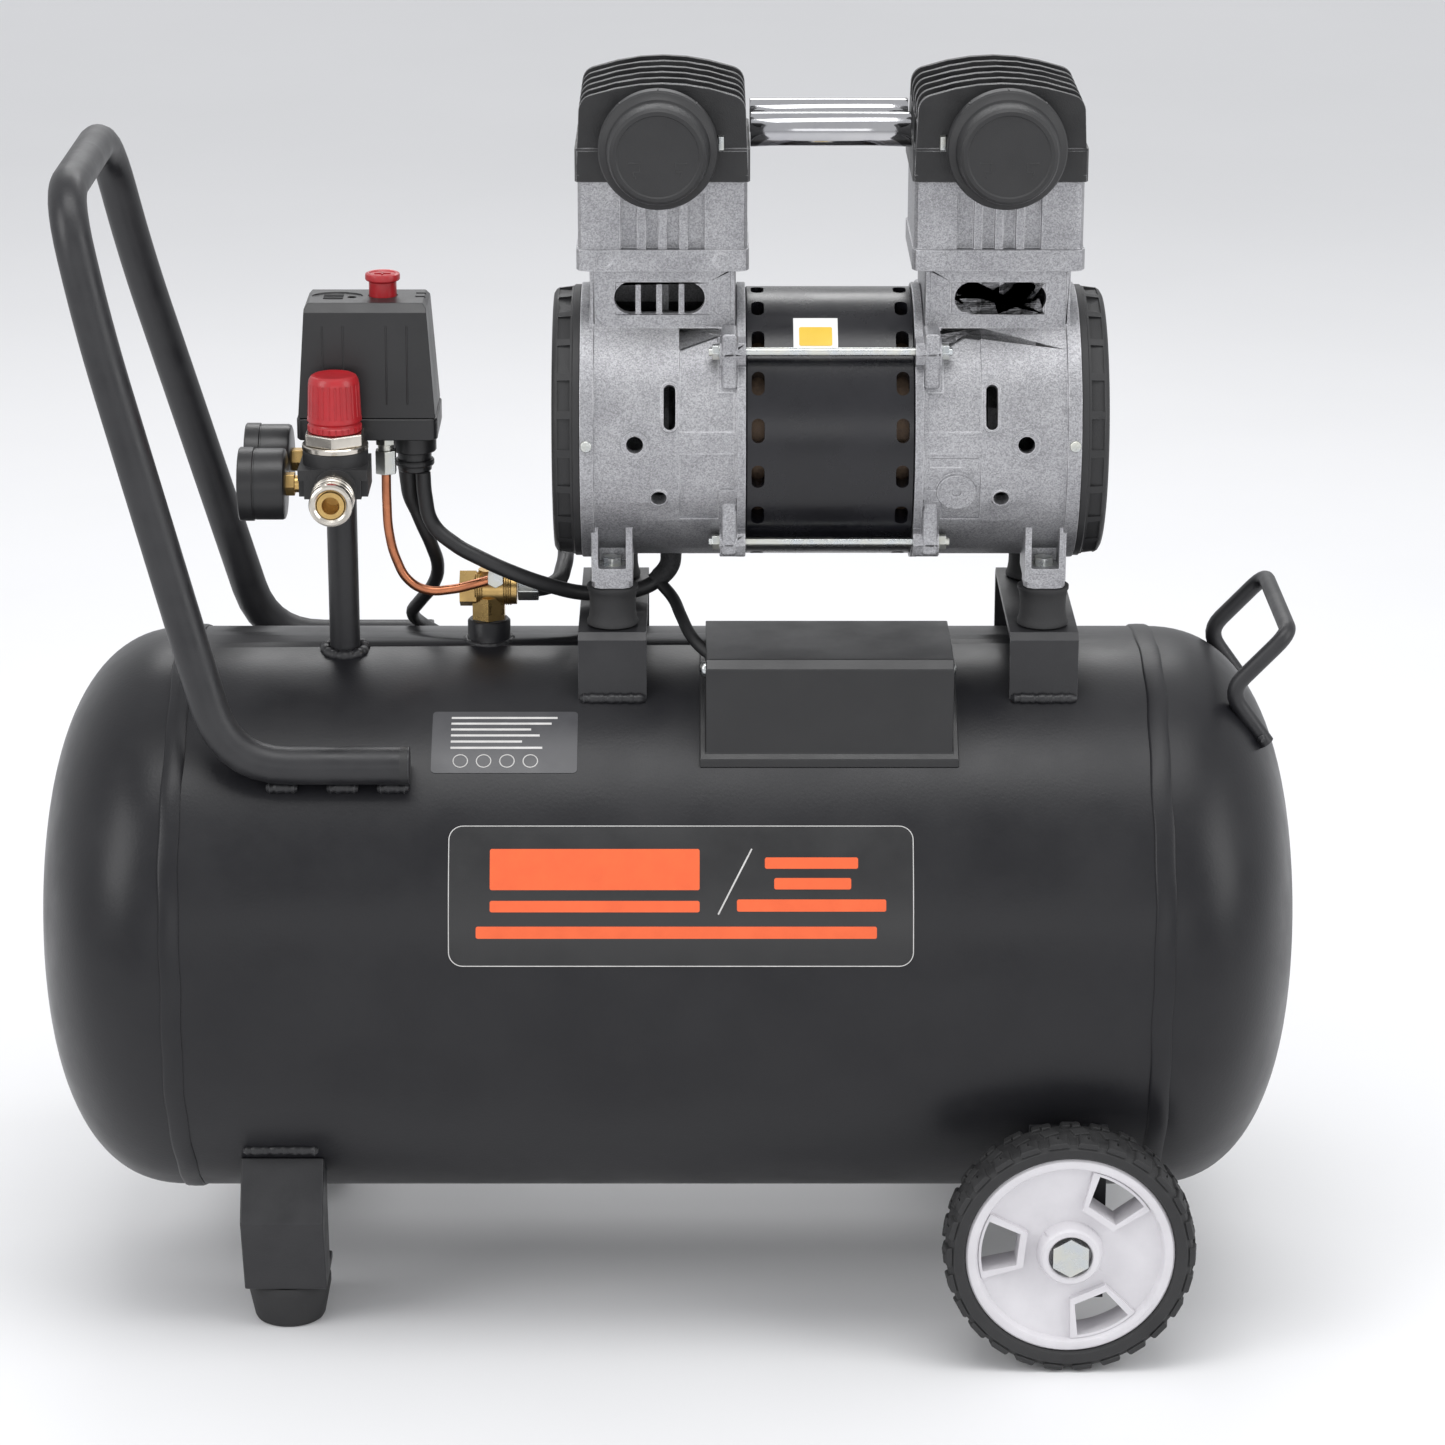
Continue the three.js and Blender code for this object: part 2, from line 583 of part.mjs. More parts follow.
const makeFan = (x0, x1) => {
  let fan = rod('x', x0, x1, 18, 0, 0, 12);
  const bladeCount = 7;
  for (let i = 0; i < bladeCount; i += 1) {
    const blade = new THREE.BoxGeometry(x1 - x0 - 1, 3, 50);
    blade.rotateZ(0.12);
    blade.translate((x0 + x1) / 2, 0, 40);
    blade.rotateX((i / bladeCount) * Math.PI * 2);
    fan = fan.add(toSolid(blade));
  }
  return fan;
};
const eccentricOffset = pistonStroke / 2;
const makeRotor = () => {
  const tip = crankOuter + fanCoverDepth - 6;
  let rotor = join(
    rod('x', -tip, tip, shaftRadius, 0, 0, 20),
    rod('x', -motorLength / 2 + 6, motorLength / 2 - 6, statorBoreRadius - 1.5, 0, 0, 24),
  );
  for (const side of [-1, 1]) {
    const near = side * (cylinderX - 16);
    const far = side * (cylinderX - 5);
    const low = Math.min(near, far);
    rotor = rotor.add(rod('x', low, low + 11, 20, 0, side * eccentricOffset, 16));
    const fanFrom = side > 0 ? tip - 8 : -tip;
    rotor = rotor.add(makeFan(fanFrom, fanFrom + 8));
  }
  return rotor;
};
const makePiston = () => {
  const low = upperCaseTop + 20.5;
  const crown = rod('z', low, low + 11, cylinderBoreRadius - 0.5, cylinderX, 0, 28);
  const link = block(cylinderX - 3, -9, 20, cylinderX + 4, 9, low + 1);
  const ring = rod('x', cylinderX - 3, cylinderX + 4, 26, 0, 0, 24);
  const eye = rod('x', cylinderX - 4, cylinderX + 5, shaftRadius + eccentricOffset + 2, 0, 0, 24);
  return cut(join(crown, link, ring), eye);
};
const bothEnds = (name, make, material) => {
  for (const [end, side] of [['left', -1], ['right', 1]]) {
    const solid = make();
    place(pump, `${name}_${end}`, side < 0 ? solid.mirror([1, 0, 0]) : solid, material);
  }
};
place(pump, 'motor_shell', makeMotorShell(), blackPaint);
place(pump, 'rotor', makeRotor(), steel);
bothEnds('crankcase', makeCrankcase, castAluminium);
bothEnds('fan_cover', makeFanCover, blackPlastic);
bothEnds('cylinder', makeCylinder, castAluminium);
bothEnds('cylinder_head', makeCylinderHead, headPaint);
bothEnds('filter_cap', makeFilterCap, blackPlastic);
bothEnds('piston', makePiston, castAluminium);
const makeTieRod = () => {
  const lugEnd = crankInner + tieLugLength + gap;
  return join(
    rod('x', -lugEnd - 6, lugEnd + 6, 2.5, 0, 0, 8),
    rod('x', lugEnd, lugEnd + 4, 4.8, 0, 0, 6),
    rod('x', -lugEnd - 4, -lugEnd, 4.8, 0, 0, 6),
  );
};
for (const [depthName, y] of [['front', -tieRodY], ['rear', tieRodY]]) {
  place(pump, `tie_rod_${depthName}_upper`, makeTieRod(), zinc, 0, y, tieRodZ);
  place(pump, `tie_rod_${depthName}_lower`, makeTieRod(), zinc, 0, y, -tieRodZ);
}
const crossTubeRadius = 10;
const crossTubeY = 21.5;
const crossTubeZ = headBottom + 25.6;
const makeCrossTube = () => {
  const half = cylinderX - cylinderWidth / 2 - 0.5 - gap;
  return cut(
    rod('x', -half, half, crossTubeRadius, 0, 0, 20),
    rod('x', -half - 1, half + 1, crossTubeRadius - 1.5, 0, 0, 12),
  );
};
place(pump, 'cross_tube_front', makeCrossTube(), polishedTube, 0, -crossTubeY, crossTubeZ);
place(pump, 'cross_tube_rear', makeCrossTube(), polishedTube, 0, crossTubeY, crossTubeZ);

// ---- Capacitor box on the tank's shoulder ----
const capacitorFrontY = -110;
const capacitorBackY = -24;
const capacitorTop = tankRadius + 20;
const capacitorFoot = tankRadius - 70;
const makeCapacitorBox = () => {
  const half = 71.5;
  const profile = [
    [capacitorFrontY, capacitorFoot], [capacitorFrontY, capacitorTop - 5], [capacitorFrontY + 5, capacitorTop],
    [capacitorBackY - 5, capacitorTop], [capacitorBackY, capacitorTop - 5], [capacitorBackY, capacitorFoot],
  ];
  const lid = slabYZ(profile, pumpX - half, pumpX + half);
  const skirtRadius = tankRadius + 4;
  const skirt = rod('x', pumpX - half - 3.5, pumpX + half + 3.5, skirtRadius, 0, 0, 44);
  const skirtRoom = block(pumpX - half - 4, capacitorFrontY - 3.5, capacitorFoot, pumpX + half + 4,
    capacitorBackY + 3, capacitorTop);
  return fitToTank(join(lid, skirt.intersect(skirtRoom)));
};
place(tankGroup, 'capacitor_box', makeCapacitorBox(), blackPlastic);

// ---- Tank post, pressure switch and its button ----
const switchBaseHeight = 13;
const coverTaper = 4.5;
const makePost = () => fitToTank(rod('z', saddleFoot, switchBottom - gap, postRadius, postX, postY, 20));
place(tankGroup, 'outlet_post', makePost(), blackPaint);
const glandX = -149;
const glandY = -8;
const glandRadius = 10;
const glandDepth = 24;
const makeSwitchBase = () => join(
  roundedBlock(switchWidth, switchDepth, 5, switchBottom, switchBottom + switchBaseHeight, switchX, switchY),
  rod('z', switchBottom - 12, switchBottom + 1, 13, glandX, glandY, 20),
  rod('z', switchBottom - glandDepth, switchBottom - 11, glandRadius, glandX, glandY, 20),
);
place(tankGroup, 'switch_base', makeSwitchBase(), blackPlastic);
const buttonX = -166;
const buttonY = -2;
const makeSwitchCover = () => {
  const low = switchBottom + switchBaseHeight + gap;
  const high = switchBottom + switchHeight;
  const w = switchWidth / 2;
  const d = switchDepth / 2;
  const t = coverTaper;
  const side = [
    [-d + 1, low], [-d + 1 + t, high - 5], [-d + t + 6, high],
    [d - t - 6, high], [d - t - 1, high - 5], [d - 1, low],
  ];
  const body = slabYZ(side, -w - 1, w + 1);
  const front = new THREE.Shape([
    new THREE.Vector2(-w + 1, low - 1), new THREE.Vector2(w - 1, low - 1),
    new THREE.Vector2(w - 1 - t, high - 3), new THREE.Vector2(w - t - 4, high + 1),
    new THREE.Vector2(-w + t + 4, high + 1), new THREE.Vector2(-w + 1 + t, high - 3),
  ]);
  const cover = body.intersect(slabXZ(front, -d, d)).translate([switchX, switchY, 0]);
  const well = rod('z', high - 16, high + 2, 8.5, buttonX, buttonY, 24);
  return cut(cover, well);
};
place(tankGroup, 'switch_cover', makeSwitchCover(), blackPlastic);
const makeSwitchButton = () => turned('z', [
  [0, -9], [8.1, -9], [8.1, 8.5], [10.2, 9.5], [10.2, 12.5], [9, 13.5], [0, 13.8],
], 28);
place(tankGroup, 'switch_button', makeSwitchButton(), redPlastic, buttonX, buttonY, switchBottom + switchHeight);

// ---- Regulator, quick coupler and gauges ----
const regulatorY = -52;
const regulatorBottom = tankRadius + 106;
const regulatorTop = regulatorBottom + 27;
const bonnetTop = regulatorTop + 9;
const knobHeight = 33;
const couplerZ = regulatorBottom + 6;
const couplerX = postX + 1;
const makeRegulatorBody = () => {
  const lower = roundedBlock(40, 39, 3, regulatorBottom, regulatorTop - 9, postX - 0.6, regulatorY);
  const upper = rod('z', regulatorTop - 10, regulatorTop, 19, postX, regulatorY, 28);
  const bonnet = rod('z', regulatorTop - 1, bonnetTop, 18.5, postX, regulatorY, 6);
  const stem = rod('z', bonnetTop - 1, bonnetTop + 5, 7, postX, regulatorY, 16);
  const nipple = rod('y', regulatorY + 18, postY - postRadius - gap, 6, postX, couplerZ + 6, 12);
  const core = rod('y', -107, regulatorY - 18, 8, couplerX, couplerZ, 24);
  const collar = rod('y', -81, regulatorY - 18, 11, couplerX, couplerZ, 6);
  const outlet = rod('y', -108, -85, 5, couplerX, couplerZ, 20);
  return cut(join(lower, upper, bonnet, stem, nipple, core, collar), outlet);
};
place(tankGroup, 'regulator_body', makeRegulatorBody(), blackPlastic);
const makeRegulatorKnob = () => {
  const low = bonnetTop + gap;
  return turned('z', [
    [7 + gap, low], [15.7, low], [15.7, low + 4], [15.2, low + 5], [15.7, low + 6], [14.6, low + knobHeight - 3],
    [12.5, low + knobHeight], [0, low + knobHeight], [0, low + 6], [7 + gap, low + 6], [7 + gap, low],
  ], 24);
};
place(tankGroup, 'regulator_knob', makeRegulatorKnob(), redPlastic, postX, regulatorY, 0);
const makeCouplerSleeve = () => turned('y', [
  [8 + gap, -106.5], [11.5, -108], [12.6, -106.5], [12.6, -98], [11.8, -97], [12.6, -96], [12.6, -87],
  [11.5, -85.5], [8 + gap, -85.5], [8 + gap, -106.5],
], 28);
place(tankGroup, 'coupler_sleeve', makeCouplerSleeve(), nickel, couplerX, 0, couplerZ);
const gaugeFaceX = -248;
const regulatorSide = postX - 20.6;
const gaugePlaces = [
  ['outlet', regulatorY, regulatorBottom + 4, regulatorSide - gap],
  ['tank', -8, regulatorBottom + 7, postX - postRadius + 0.5],
];
const makeGauge = (stemEnd) => {
  const back = gaugeFaceX + gaugeDepth;
  const r = gaugeRadius;
  const shell = turned('x', [
    [0, gaugeFaceX + 4], [r - 3, gaugeFaceX + 4], [r - 3, gaugeFaceX], [r, gaugeFaceX], [r, gaugeFaceX + 9],
    [r - 0.8, gaugeFaceX + 9], [r - 0.8, back - 1], [r - 2, back], [0, back],
  ], 24);
  const stem = rod('x', back - 1, stemEnd, 5, 0, 0, 12);
  const hex = rod('x', back - 1, back + 5, 7, 0, 0, 6);
  return join(shell, stem, hex);
};
const makeNeedle = () => {
  const hub = rod('x', gaugeFaceX + 1.5, gaugeFaceX + 4 - gap, 2.6, 0, 0, 16);
  const pointer = block(gaugeFaceX + 1.8, -1, -5, gaugeFaceX + 2.8, 1, 14);
  return join(hub, pointer);
};
const needleRestAngle = THREE.MathUtils.degToRad(-135);
for (const [name, y, z, stemEnd] of gaugePlaces) {
  place(tankGroup, `gauge_${name}`, makeGauge(stemEnd), blackPlastic, 0, y, z);
  const needle = place(tankGroup, `needle_${name}`, makeNeedle(), needlePaint, 0, y, z);
  needle.rotation.x = needleRestAngle;
}

// ---- Check valve and the pipes ----
const valveBottom = tankRadius + portRise + gap;
const valveZ = valveBottom + 18;
const valveEndX = portX + 17;
const makeCheckValve = () => join(
  rod('z', valveBottom, valveBottom + 14, 11, portX, 0, 6),
  rod('x', portX - 17, valveEndX, 9.5, 0, valveZ, 20),
  rod('x', portX - 17, portX - 7, 11, 0, valveZ, 6),
  rod('z', valveZ, valveZ + 12, 6, portX, 0, 12),
);
place(tankGroup, 'check_valve', makeCheckValve(), brass);
const unloaderX = -165;
const unloaderY = -22;
const makeUnloaderTube = () => {
  const points = [
    [unloaderX, unloaderY, 110], [unloaderX, unloaderY, 90], [unloaderX + 1, unloaderY, 72],
    [-160, -21, 55], [-153, -20, 42], [-143, -19, 36], [-128, -18, 36], [-114, -17, 39],
    [-102, -15, 42],
  ];
  const tube = sweep(smoothPath(aboveCrown(points)), 2.8, 26, 8);
  const nut = rod('z', switchBottom - 22, switchBottom - 22 + 14, 6.5, unloaderX, unloaderY, 6);
  const neck = rod('z', switchBottom - 9, switchBottom - gap, 4, unloaderX, unloaderY, 12);
  return join(tube, nut, neck, rod('y', -18, -9.8, 5, -102, tankRadius + 42, 6));
};
const hoseRadius = 5;
const pumpOutletX = pumpX - cylinderX;
const pumpOutletZ = shaftHeight + filterZ;
const makeDischargeHose = () => {
  const outletY = cylinderDepth / 2 + 0.5 + gap;
  const points = [
    [valveEndX + gap, 0, valveZ], [-78, 0, valveZ],
    ...aboveCrown([[-68, 8, 32], [-63, 30, 36], [-62, 60, 44], [-60, 86, 66], [-55, 104, 108]]),
    ...aboveCrown([[-42, 112, 168], [-22, 112, 228]]), [-8, 108, pumpOutletZ - 32.6],
    [pumpOutletX, 92, pumpOutletZ - 6], [pumpOutletX, 74, pumpOutletZ],
    [pumpOutletX, outletY, pumpOutletZ],
  ];
  const hose = sweep(smoothPath(points), hoseRadius, 40, 8);
  const nut = rod('x', valveEndX + gap, valveEndX + 13, 7.5, 0, valveZ, 6);
  return join(hose, nut, rod('y', outletY, outletY + 12, 8, pumpOutletX, pumpOutletZ, 6));
};
place(tankGroup, 'unloader_tube', makeUnloaderTube(), copper);
place(tankGroup, 'discharge_hose', makeDischargeHose(), rubber);

// ---- Leads ----
const leadRadius = 4.5;
const crankcaseUnderside = shaftHeight - crankcaseRadius - 2 * gap;
const makeMotorLead = () => {
  const points = [
    [glandX + 5, glandY - 5, switchBottom - glandDepth - gap],
    ...aboveCrown([[glandX + 6, glandY - 6, 92], [-139, -15, 76], [-126, -21, 65], [-110, -25, 57]]),
    ...aboveCrown([[-90, -26, 48], [-70, -20, 39], [-50, -12, 32], [-33, -6, saddleRise + 6]]),
    ...aboveCrown([[-16, -3, 32], [-5, -1, 38], [1, 0, 46], [2, 0, 51]]), [2, 0, crankcaseUnderside],
  ];
  return sweep(smoothPath(points), leadRadius, 30, 8);
};
place(tankGroup, 'motor_lead', makeMotorLead(), rubber);
const cordTop = tankAxisHeight + switchBottom - glandDepth - gap;
const cordRoute = [
  [-153, -3, cordTop], [-152, -2, 483], [-147, 0, 467], [-141, 6, 450], [-138, 16, 434], [-142, 30, 418],
  [-151, 46, 403], [-157, 65, 390], [-153, 88, 376], [-141, 113, 359], [-133, 135, 337], [-130, 153, 312],
  [-129, 166, 284], [-129, 174, 254], [-130, 177, 222], [-131, 178, 181], [-132, 178, 141], [-134, 179, 101],
  [-137, 182, 68], [-141, 188, 38], [-146, 199, 16], [-149, 218, 6], [-150, 236, 4.3], [-149, 250, 4.3],
  [-148, 262, 4.3],
];
const makeCord = () => sweep(smoothPath(cordRoute), cordRadius, 56, 8);
place(model, 'power_cord', makeCord(), rubber);

// The spare length lies behind the tank in a coil two turns wide and two high.
const coilX = cordRoute.at(-1)[0] + coilTurnRadius + cordRadius;
const coilOuter = coilTurnRadius + 2 * cordRadius + gap;
const coilInner = coilTurnRadius - 2 * cordRadius - gap;
const coilHeight = 4 * cordRadius + gap;
// Half the chord that a cord entering along the outer turn's tangent leaves in the coil's wall.
const coilEntry = Math.sqrt(coilOuter ** 2 - coilTurnRadius ** 2);
const coilY = cordRoute.at(-1)[1] + coilEntry + gap;
const makeCoil = () => turned('z', [
  [coilInner, 0], [coilOuter, 0], [coilOuter, coilHeight], [coilInner, coilHeight], [coilInner, 0],
], 28);
place(model, 'cord_coil', makeCoil(), rubber, coilX, coilY, 0);
const plugX = coilX + coilTurnRadius + cordRadius;
const plugBackY = coilY - Math.sqrt(coilOuter ** 2 - (coilTurnRadius - 3) ** 2) - gap;
const plugHeight = 22;
const makePlug = () => {
  const neckY = plugBackY - 12;
  const bodyY = neckY - 30;
  return join(
    rod('y', neckY - 1, plugBackY, 5, plugX, plugHeight / 2 + 1, 12),
    block(plugX - 13, bodyY, 0, plugX + 13, neckY, plugHeight),
    block(plugX - 7, bodyY - 17, 12, plugX - 5.5, bodyY + 1, 18),
    block(plugX + 5.5, bodyY - 17, 12, plugX + 7, bodyY + 1, 18),
    rod('y', bodyY - 20, bodyY + 1, 2.4, plugX, 6, 10),
  );
};
place(model, 'power_plug', makePlug(), blackPlastic);

export default model;
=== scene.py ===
# Portable twin-pump air compressor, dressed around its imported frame. Metres.
import bpy
import json
import math
from mathutils import Vector, Matrix

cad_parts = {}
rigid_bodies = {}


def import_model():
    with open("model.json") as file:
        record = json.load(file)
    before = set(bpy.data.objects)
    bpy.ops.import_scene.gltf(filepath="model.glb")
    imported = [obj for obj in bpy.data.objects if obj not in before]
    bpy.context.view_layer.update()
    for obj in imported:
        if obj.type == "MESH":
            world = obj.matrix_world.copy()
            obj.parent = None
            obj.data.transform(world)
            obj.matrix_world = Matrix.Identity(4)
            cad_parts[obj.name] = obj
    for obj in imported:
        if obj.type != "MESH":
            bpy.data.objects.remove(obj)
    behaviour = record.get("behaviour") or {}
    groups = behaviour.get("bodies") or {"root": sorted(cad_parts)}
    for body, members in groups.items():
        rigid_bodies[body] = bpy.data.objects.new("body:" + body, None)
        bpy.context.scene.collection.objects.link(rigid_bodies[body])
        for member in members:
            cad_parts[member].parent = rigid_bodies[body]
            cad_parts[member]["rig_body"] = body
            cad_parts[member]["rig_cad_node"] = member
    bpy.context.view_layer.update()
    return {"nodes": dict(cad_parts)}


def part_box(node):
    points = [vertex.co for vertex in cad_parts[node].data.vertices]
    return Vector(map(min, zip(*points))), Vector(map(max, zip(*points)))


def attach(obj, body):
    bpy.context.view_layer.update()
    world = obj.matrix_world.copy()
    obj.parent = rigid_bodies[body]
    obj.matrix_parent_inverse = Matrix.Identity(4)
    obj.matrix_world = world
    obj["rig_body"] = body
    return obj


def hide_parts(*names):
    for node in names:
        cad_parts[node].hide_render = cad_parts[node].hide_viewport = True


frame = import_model()
nodes = frame["nodes"]
mm = 0.001
axisZ = 0.2233  # the tank's axis above the ground
shaft = Vector((0.094, 0, 0.5282))  # the middle of the motor
print("frame loaded:", len(nodes), "nodes")

# ---- camera and lights ----
cameraSetup = dict(lens=112.1, pitch=18.34, place=(0.01915, -2.575, 1.1937), shift=0.0156)
bpy.ops.object.camera_add(location=cameraSetup["place"],
    rotation=(math.radians(90 - cameraSetup["pitch"]), 0, 0))
camera = bpy.context.active_object
camera.data.lens = cameraSetup["lens"]
camera.data.sensor_width = 36
camera.data.shift_x = cameraSetup["shift"]
camera.data.clip_end = 60
bpy.context.scene.camera = camera

lightSetup = [
    dict(name="overhead", place=(0.1, -0.5, 2.4), aim=(0, 0, 0.3), width=1.9, depth=0.8, power=20),
    dict(name="leftSoftbox", place=(-1.9, -1.3, 1.5), aim=(0, 0, 0.35), width=1.1, depth=1.4, power=17),
    dict(name="rightSoftbox", place=(2.0, -1.0, 1.3), aim=(0, 0, 0.35), width=1.0, depth=1.4, power=14),
    dict(name="frontFill", place=(0.2, -3.4, 1.0), aim=(0, 0, 0.35), width=2.4, depth=0.9, power=8),
    dict(name="backRim", place=(0.0, 2.0, 1.9), aim=(0, 0, 0.4), width=1.8, depth=0.6, power=14),
]
for setup in lightSetup:
    aim = (Vector(setup["aim"]) - Vector(setup["place"])).to_track_quat("-Z", "Y").to_euler()
    bpy.ops.object.light_add(type="AREA", location=setup["place"], rotation=aim)
    light = bpy.context.active_object
    light.name = setup["name"]
    light.data.shape = "RECTANGLE"
    light.data.size = setup["width"]
    light.data.size_y = setup["depth"]
    light.data.energy = setup["power"]

world = bpy.data.worlds.new("studio")
bpy.context.scene.world = world
world.use_nodes = True
world.node_tree.nodes["Background"].inputs["Color"].default_value = (0.93, 0.94, 0.96, 1)
world.node_tree.nodes["Background"].inputs["Strength"].default_value = 0.8


# ---- shader groups ----
def newGroup(name, inputs, outputs):
    group = bpy.data.node_groups.new(name, "ShaderNodeTree")
    for socketName, kind, value in inputs:
        socket = group.interface.new_socket(socketName, in_out="INPUT", socket_type=kind)
        if value is not None:
            socket.default_value = value
    for socketName, kind in outputs:
        group.interface.new_socket(socketName, in_out="OUTPUT", socket_type=kind)
    entry = group.nodes.new("NodeGroupInput")
    leave = group.nodes.new("NodeGroupOutput")
    return group, entry.outputs, leave.inputs


def addNode(tree, kind, settings=None, **values):
    node = tree.nodes.new(kind)
    for key, value in (settings or {}).items():
        setattr(node, key, value)
    for key, value in values.items():
        socket = node.inputs[int(key[1:])] if key[0] == "i" and key[1:].isdigit() else node.inputs[key]
        if isinstance(value, bpy.types.NodeSocket):
            tree.links.new(value, socket)
        else:
            socket.default_value = value
    return node


def addMath(tree, operation, *values, clamp=False):
    node = tree.nodes.new("ShaderNodeMath")
    node.operation = operation
    node.use_clamp = clamp
    for i, value in enumerate(values):
        if isinstance(value, bpy.types.NodeSocket):
            tree.links.new(value, node.inputs[i])
        else:
            node.inputs[i].default_value = value
    return node.outputs[0]


def mixColour(tree, share, first, second):
    node = tree.nodes.new("ShaderNodeMix")
    node.data_type = "RGBA"
    for socket, value in ((node.inputs[0], share), (node.inputs[6], first), (node.inputs[7], second)):
        if isinstance(value, bpy.types.NodeSocket):
            tree.links.new(value, socket)
        else:
            socket.default_value = value if not isinstance(value, tuple) else (*value, 1)
    return node.outputs[2]


# Soft patches, from 0 to 1, such as handling marks and uneven paint.
mottleGroup, mottleIn, mottleOut = newGroup(
    "surfaceMottle", [("Vector", "NodeSocketVector", None),
    ("Scale", "NodeSocketFloat", 30.0)], [("Mask", "NodeSocketFloat")])
mottleNoise = addNode(mottleGroup, "ShaderNodeTexNoise", Vector=mottleIn["Vector"], Scale=mottleIn["Scale"],
    Detail=5.0, Roughness=0.6)
mottleRange = addNode(mottleGroup, "ShaderNodeMapRange", i0=mottleNoise.outputs["Fac"], i1=0.34, i2=0.66)
mottleGroup.links.new(mottleRange.outputs[0], mottleOut["Mask"])

# The fine height that a sprayed, cast or moulded face has.
grainGroup, grainIn, grainOut = newGroup(
    "fineGrain", [("Vector", "NodeSocketVector", None), ("Scale", "NodeSocketFloat", 900.0),
    ("Pits", "NodeSocketFloat", 0.3)],
    [("Height", "NodeSocketFloat")])
grainNoise = addNode(grainGroup, "ShaderNodeTexNoise", Vector=grainIn["Vector"], Scale=grainIn["Scale"],
    Detail=3.0, Roughness=0.55)
grainCells = addNode(grainGroup, "ShaderNodeTexVoronoi", Vector=grainIn["Vector"], Scale=grainIn["Scale"])
grainPits = addMath(grainGroup, "MULTIPLY", grainCells.outputs["Distance"], grainIn["Pits"])
grainGroup.links.new(addMath(grainGroup, "ADD", grainNoise.outputs["Fac"], grainPits), grainOut["Height"])

# 1 on worn outer edges, broken up along them.
wearGroup, wearIn, wearOut = newGroup(
    "edgeWear", [("Vector", "NodeSocketVector", None), ("Width", "NodeSocketFloat", 0.0008),
    ("Amount", "NodeSocketFloat", 1.0),
                 ("Scale", "NodeSocketFloat", 120.0)], [("Mask", "NodeSocketFloat")])
wearBevel = addNode(wearGroup, "ShaderNodeBevel", settings=dict(samples=4), Radius=wearIn["Width"])
wearFace = wearGroup.nodes.new("ShaderNodeNewGeometry")
wearDot = wearGroup.nodes.new("ShaderNodeVectorMath")
wearDot.operation = "DOT_PRODUCT"
wearGroup.links.new(wearBevel.outputs[0], wearDot.inputs[0])
wearGroup.links.new(wearFace.outputs["Normal"], wearDot.inputs[1])
wearEdge = addNode(wearGroup, "ShaderNodeMapRange", i0=wearDot.outputs["Value"], i1=0.985, i2=0.86)
wearNoise = addNode(wearGroup, "ShaderNodeTexNoise", Vector=wearIn["Vector"], Scale=wearIn["Scale"],
    Detail=4.0)
wearBreak = addNode(wearGroup, "ShaderNodeMapRange", i0=wearNoise.outputs["Fac"], i1=0.38, i2=0.56)
wearShare = addMath(wearGroup, "MULTIPLY", wearEdge.outputs[0], wearBreak.outputs[0])
wearGroup.links.new(addMath(wearGroup, "MULTIPLY", wearShare, wearIn["Amount"], clamp=True),
    wearOut["Mask"])

# Bright and dark flecks of random tone; the bright ones are painted sparkle glints of cast or galvanised metal.
sparkleGlintGroup, fleckIn, fleckOut = newGroup(
    "metalSparkleGlints", [("Vector", "NodeSocketVector", None),
    ("Scale", "NodeSocketFloat", 1400.0)], [("Mask", "NodeSocketFloat")])
fleckCells = addNode(sparkleGlintGroup, "ShaderNodeTexVoronoi", Vector=fleckIn["Vector"], Scale=fleckIn["Scale"])
fleckValue = sparkleGlintGroup.nodes.new("ShaderNodeSeparateColor")
sparkleGlintGroup.links.new(fleckCells.outputs["Color"], fleckValue.inputs[0])
sparkleGlintGroup.links.new(fleckValue.outputs[0], fleckOut["Mask"])


def placeGroup(tree, group, **values):
    node = tree.nodes.new("ShaderNodeGroup")
    node.node_tree = group
    for key, value in values.items():
        if isinstance(value, bpy.types.NodeSocket):
            tree.links.new(value, node.inputs[key])
        else:
            node.inputs[key].default_value = value
    return node.outputs[0]


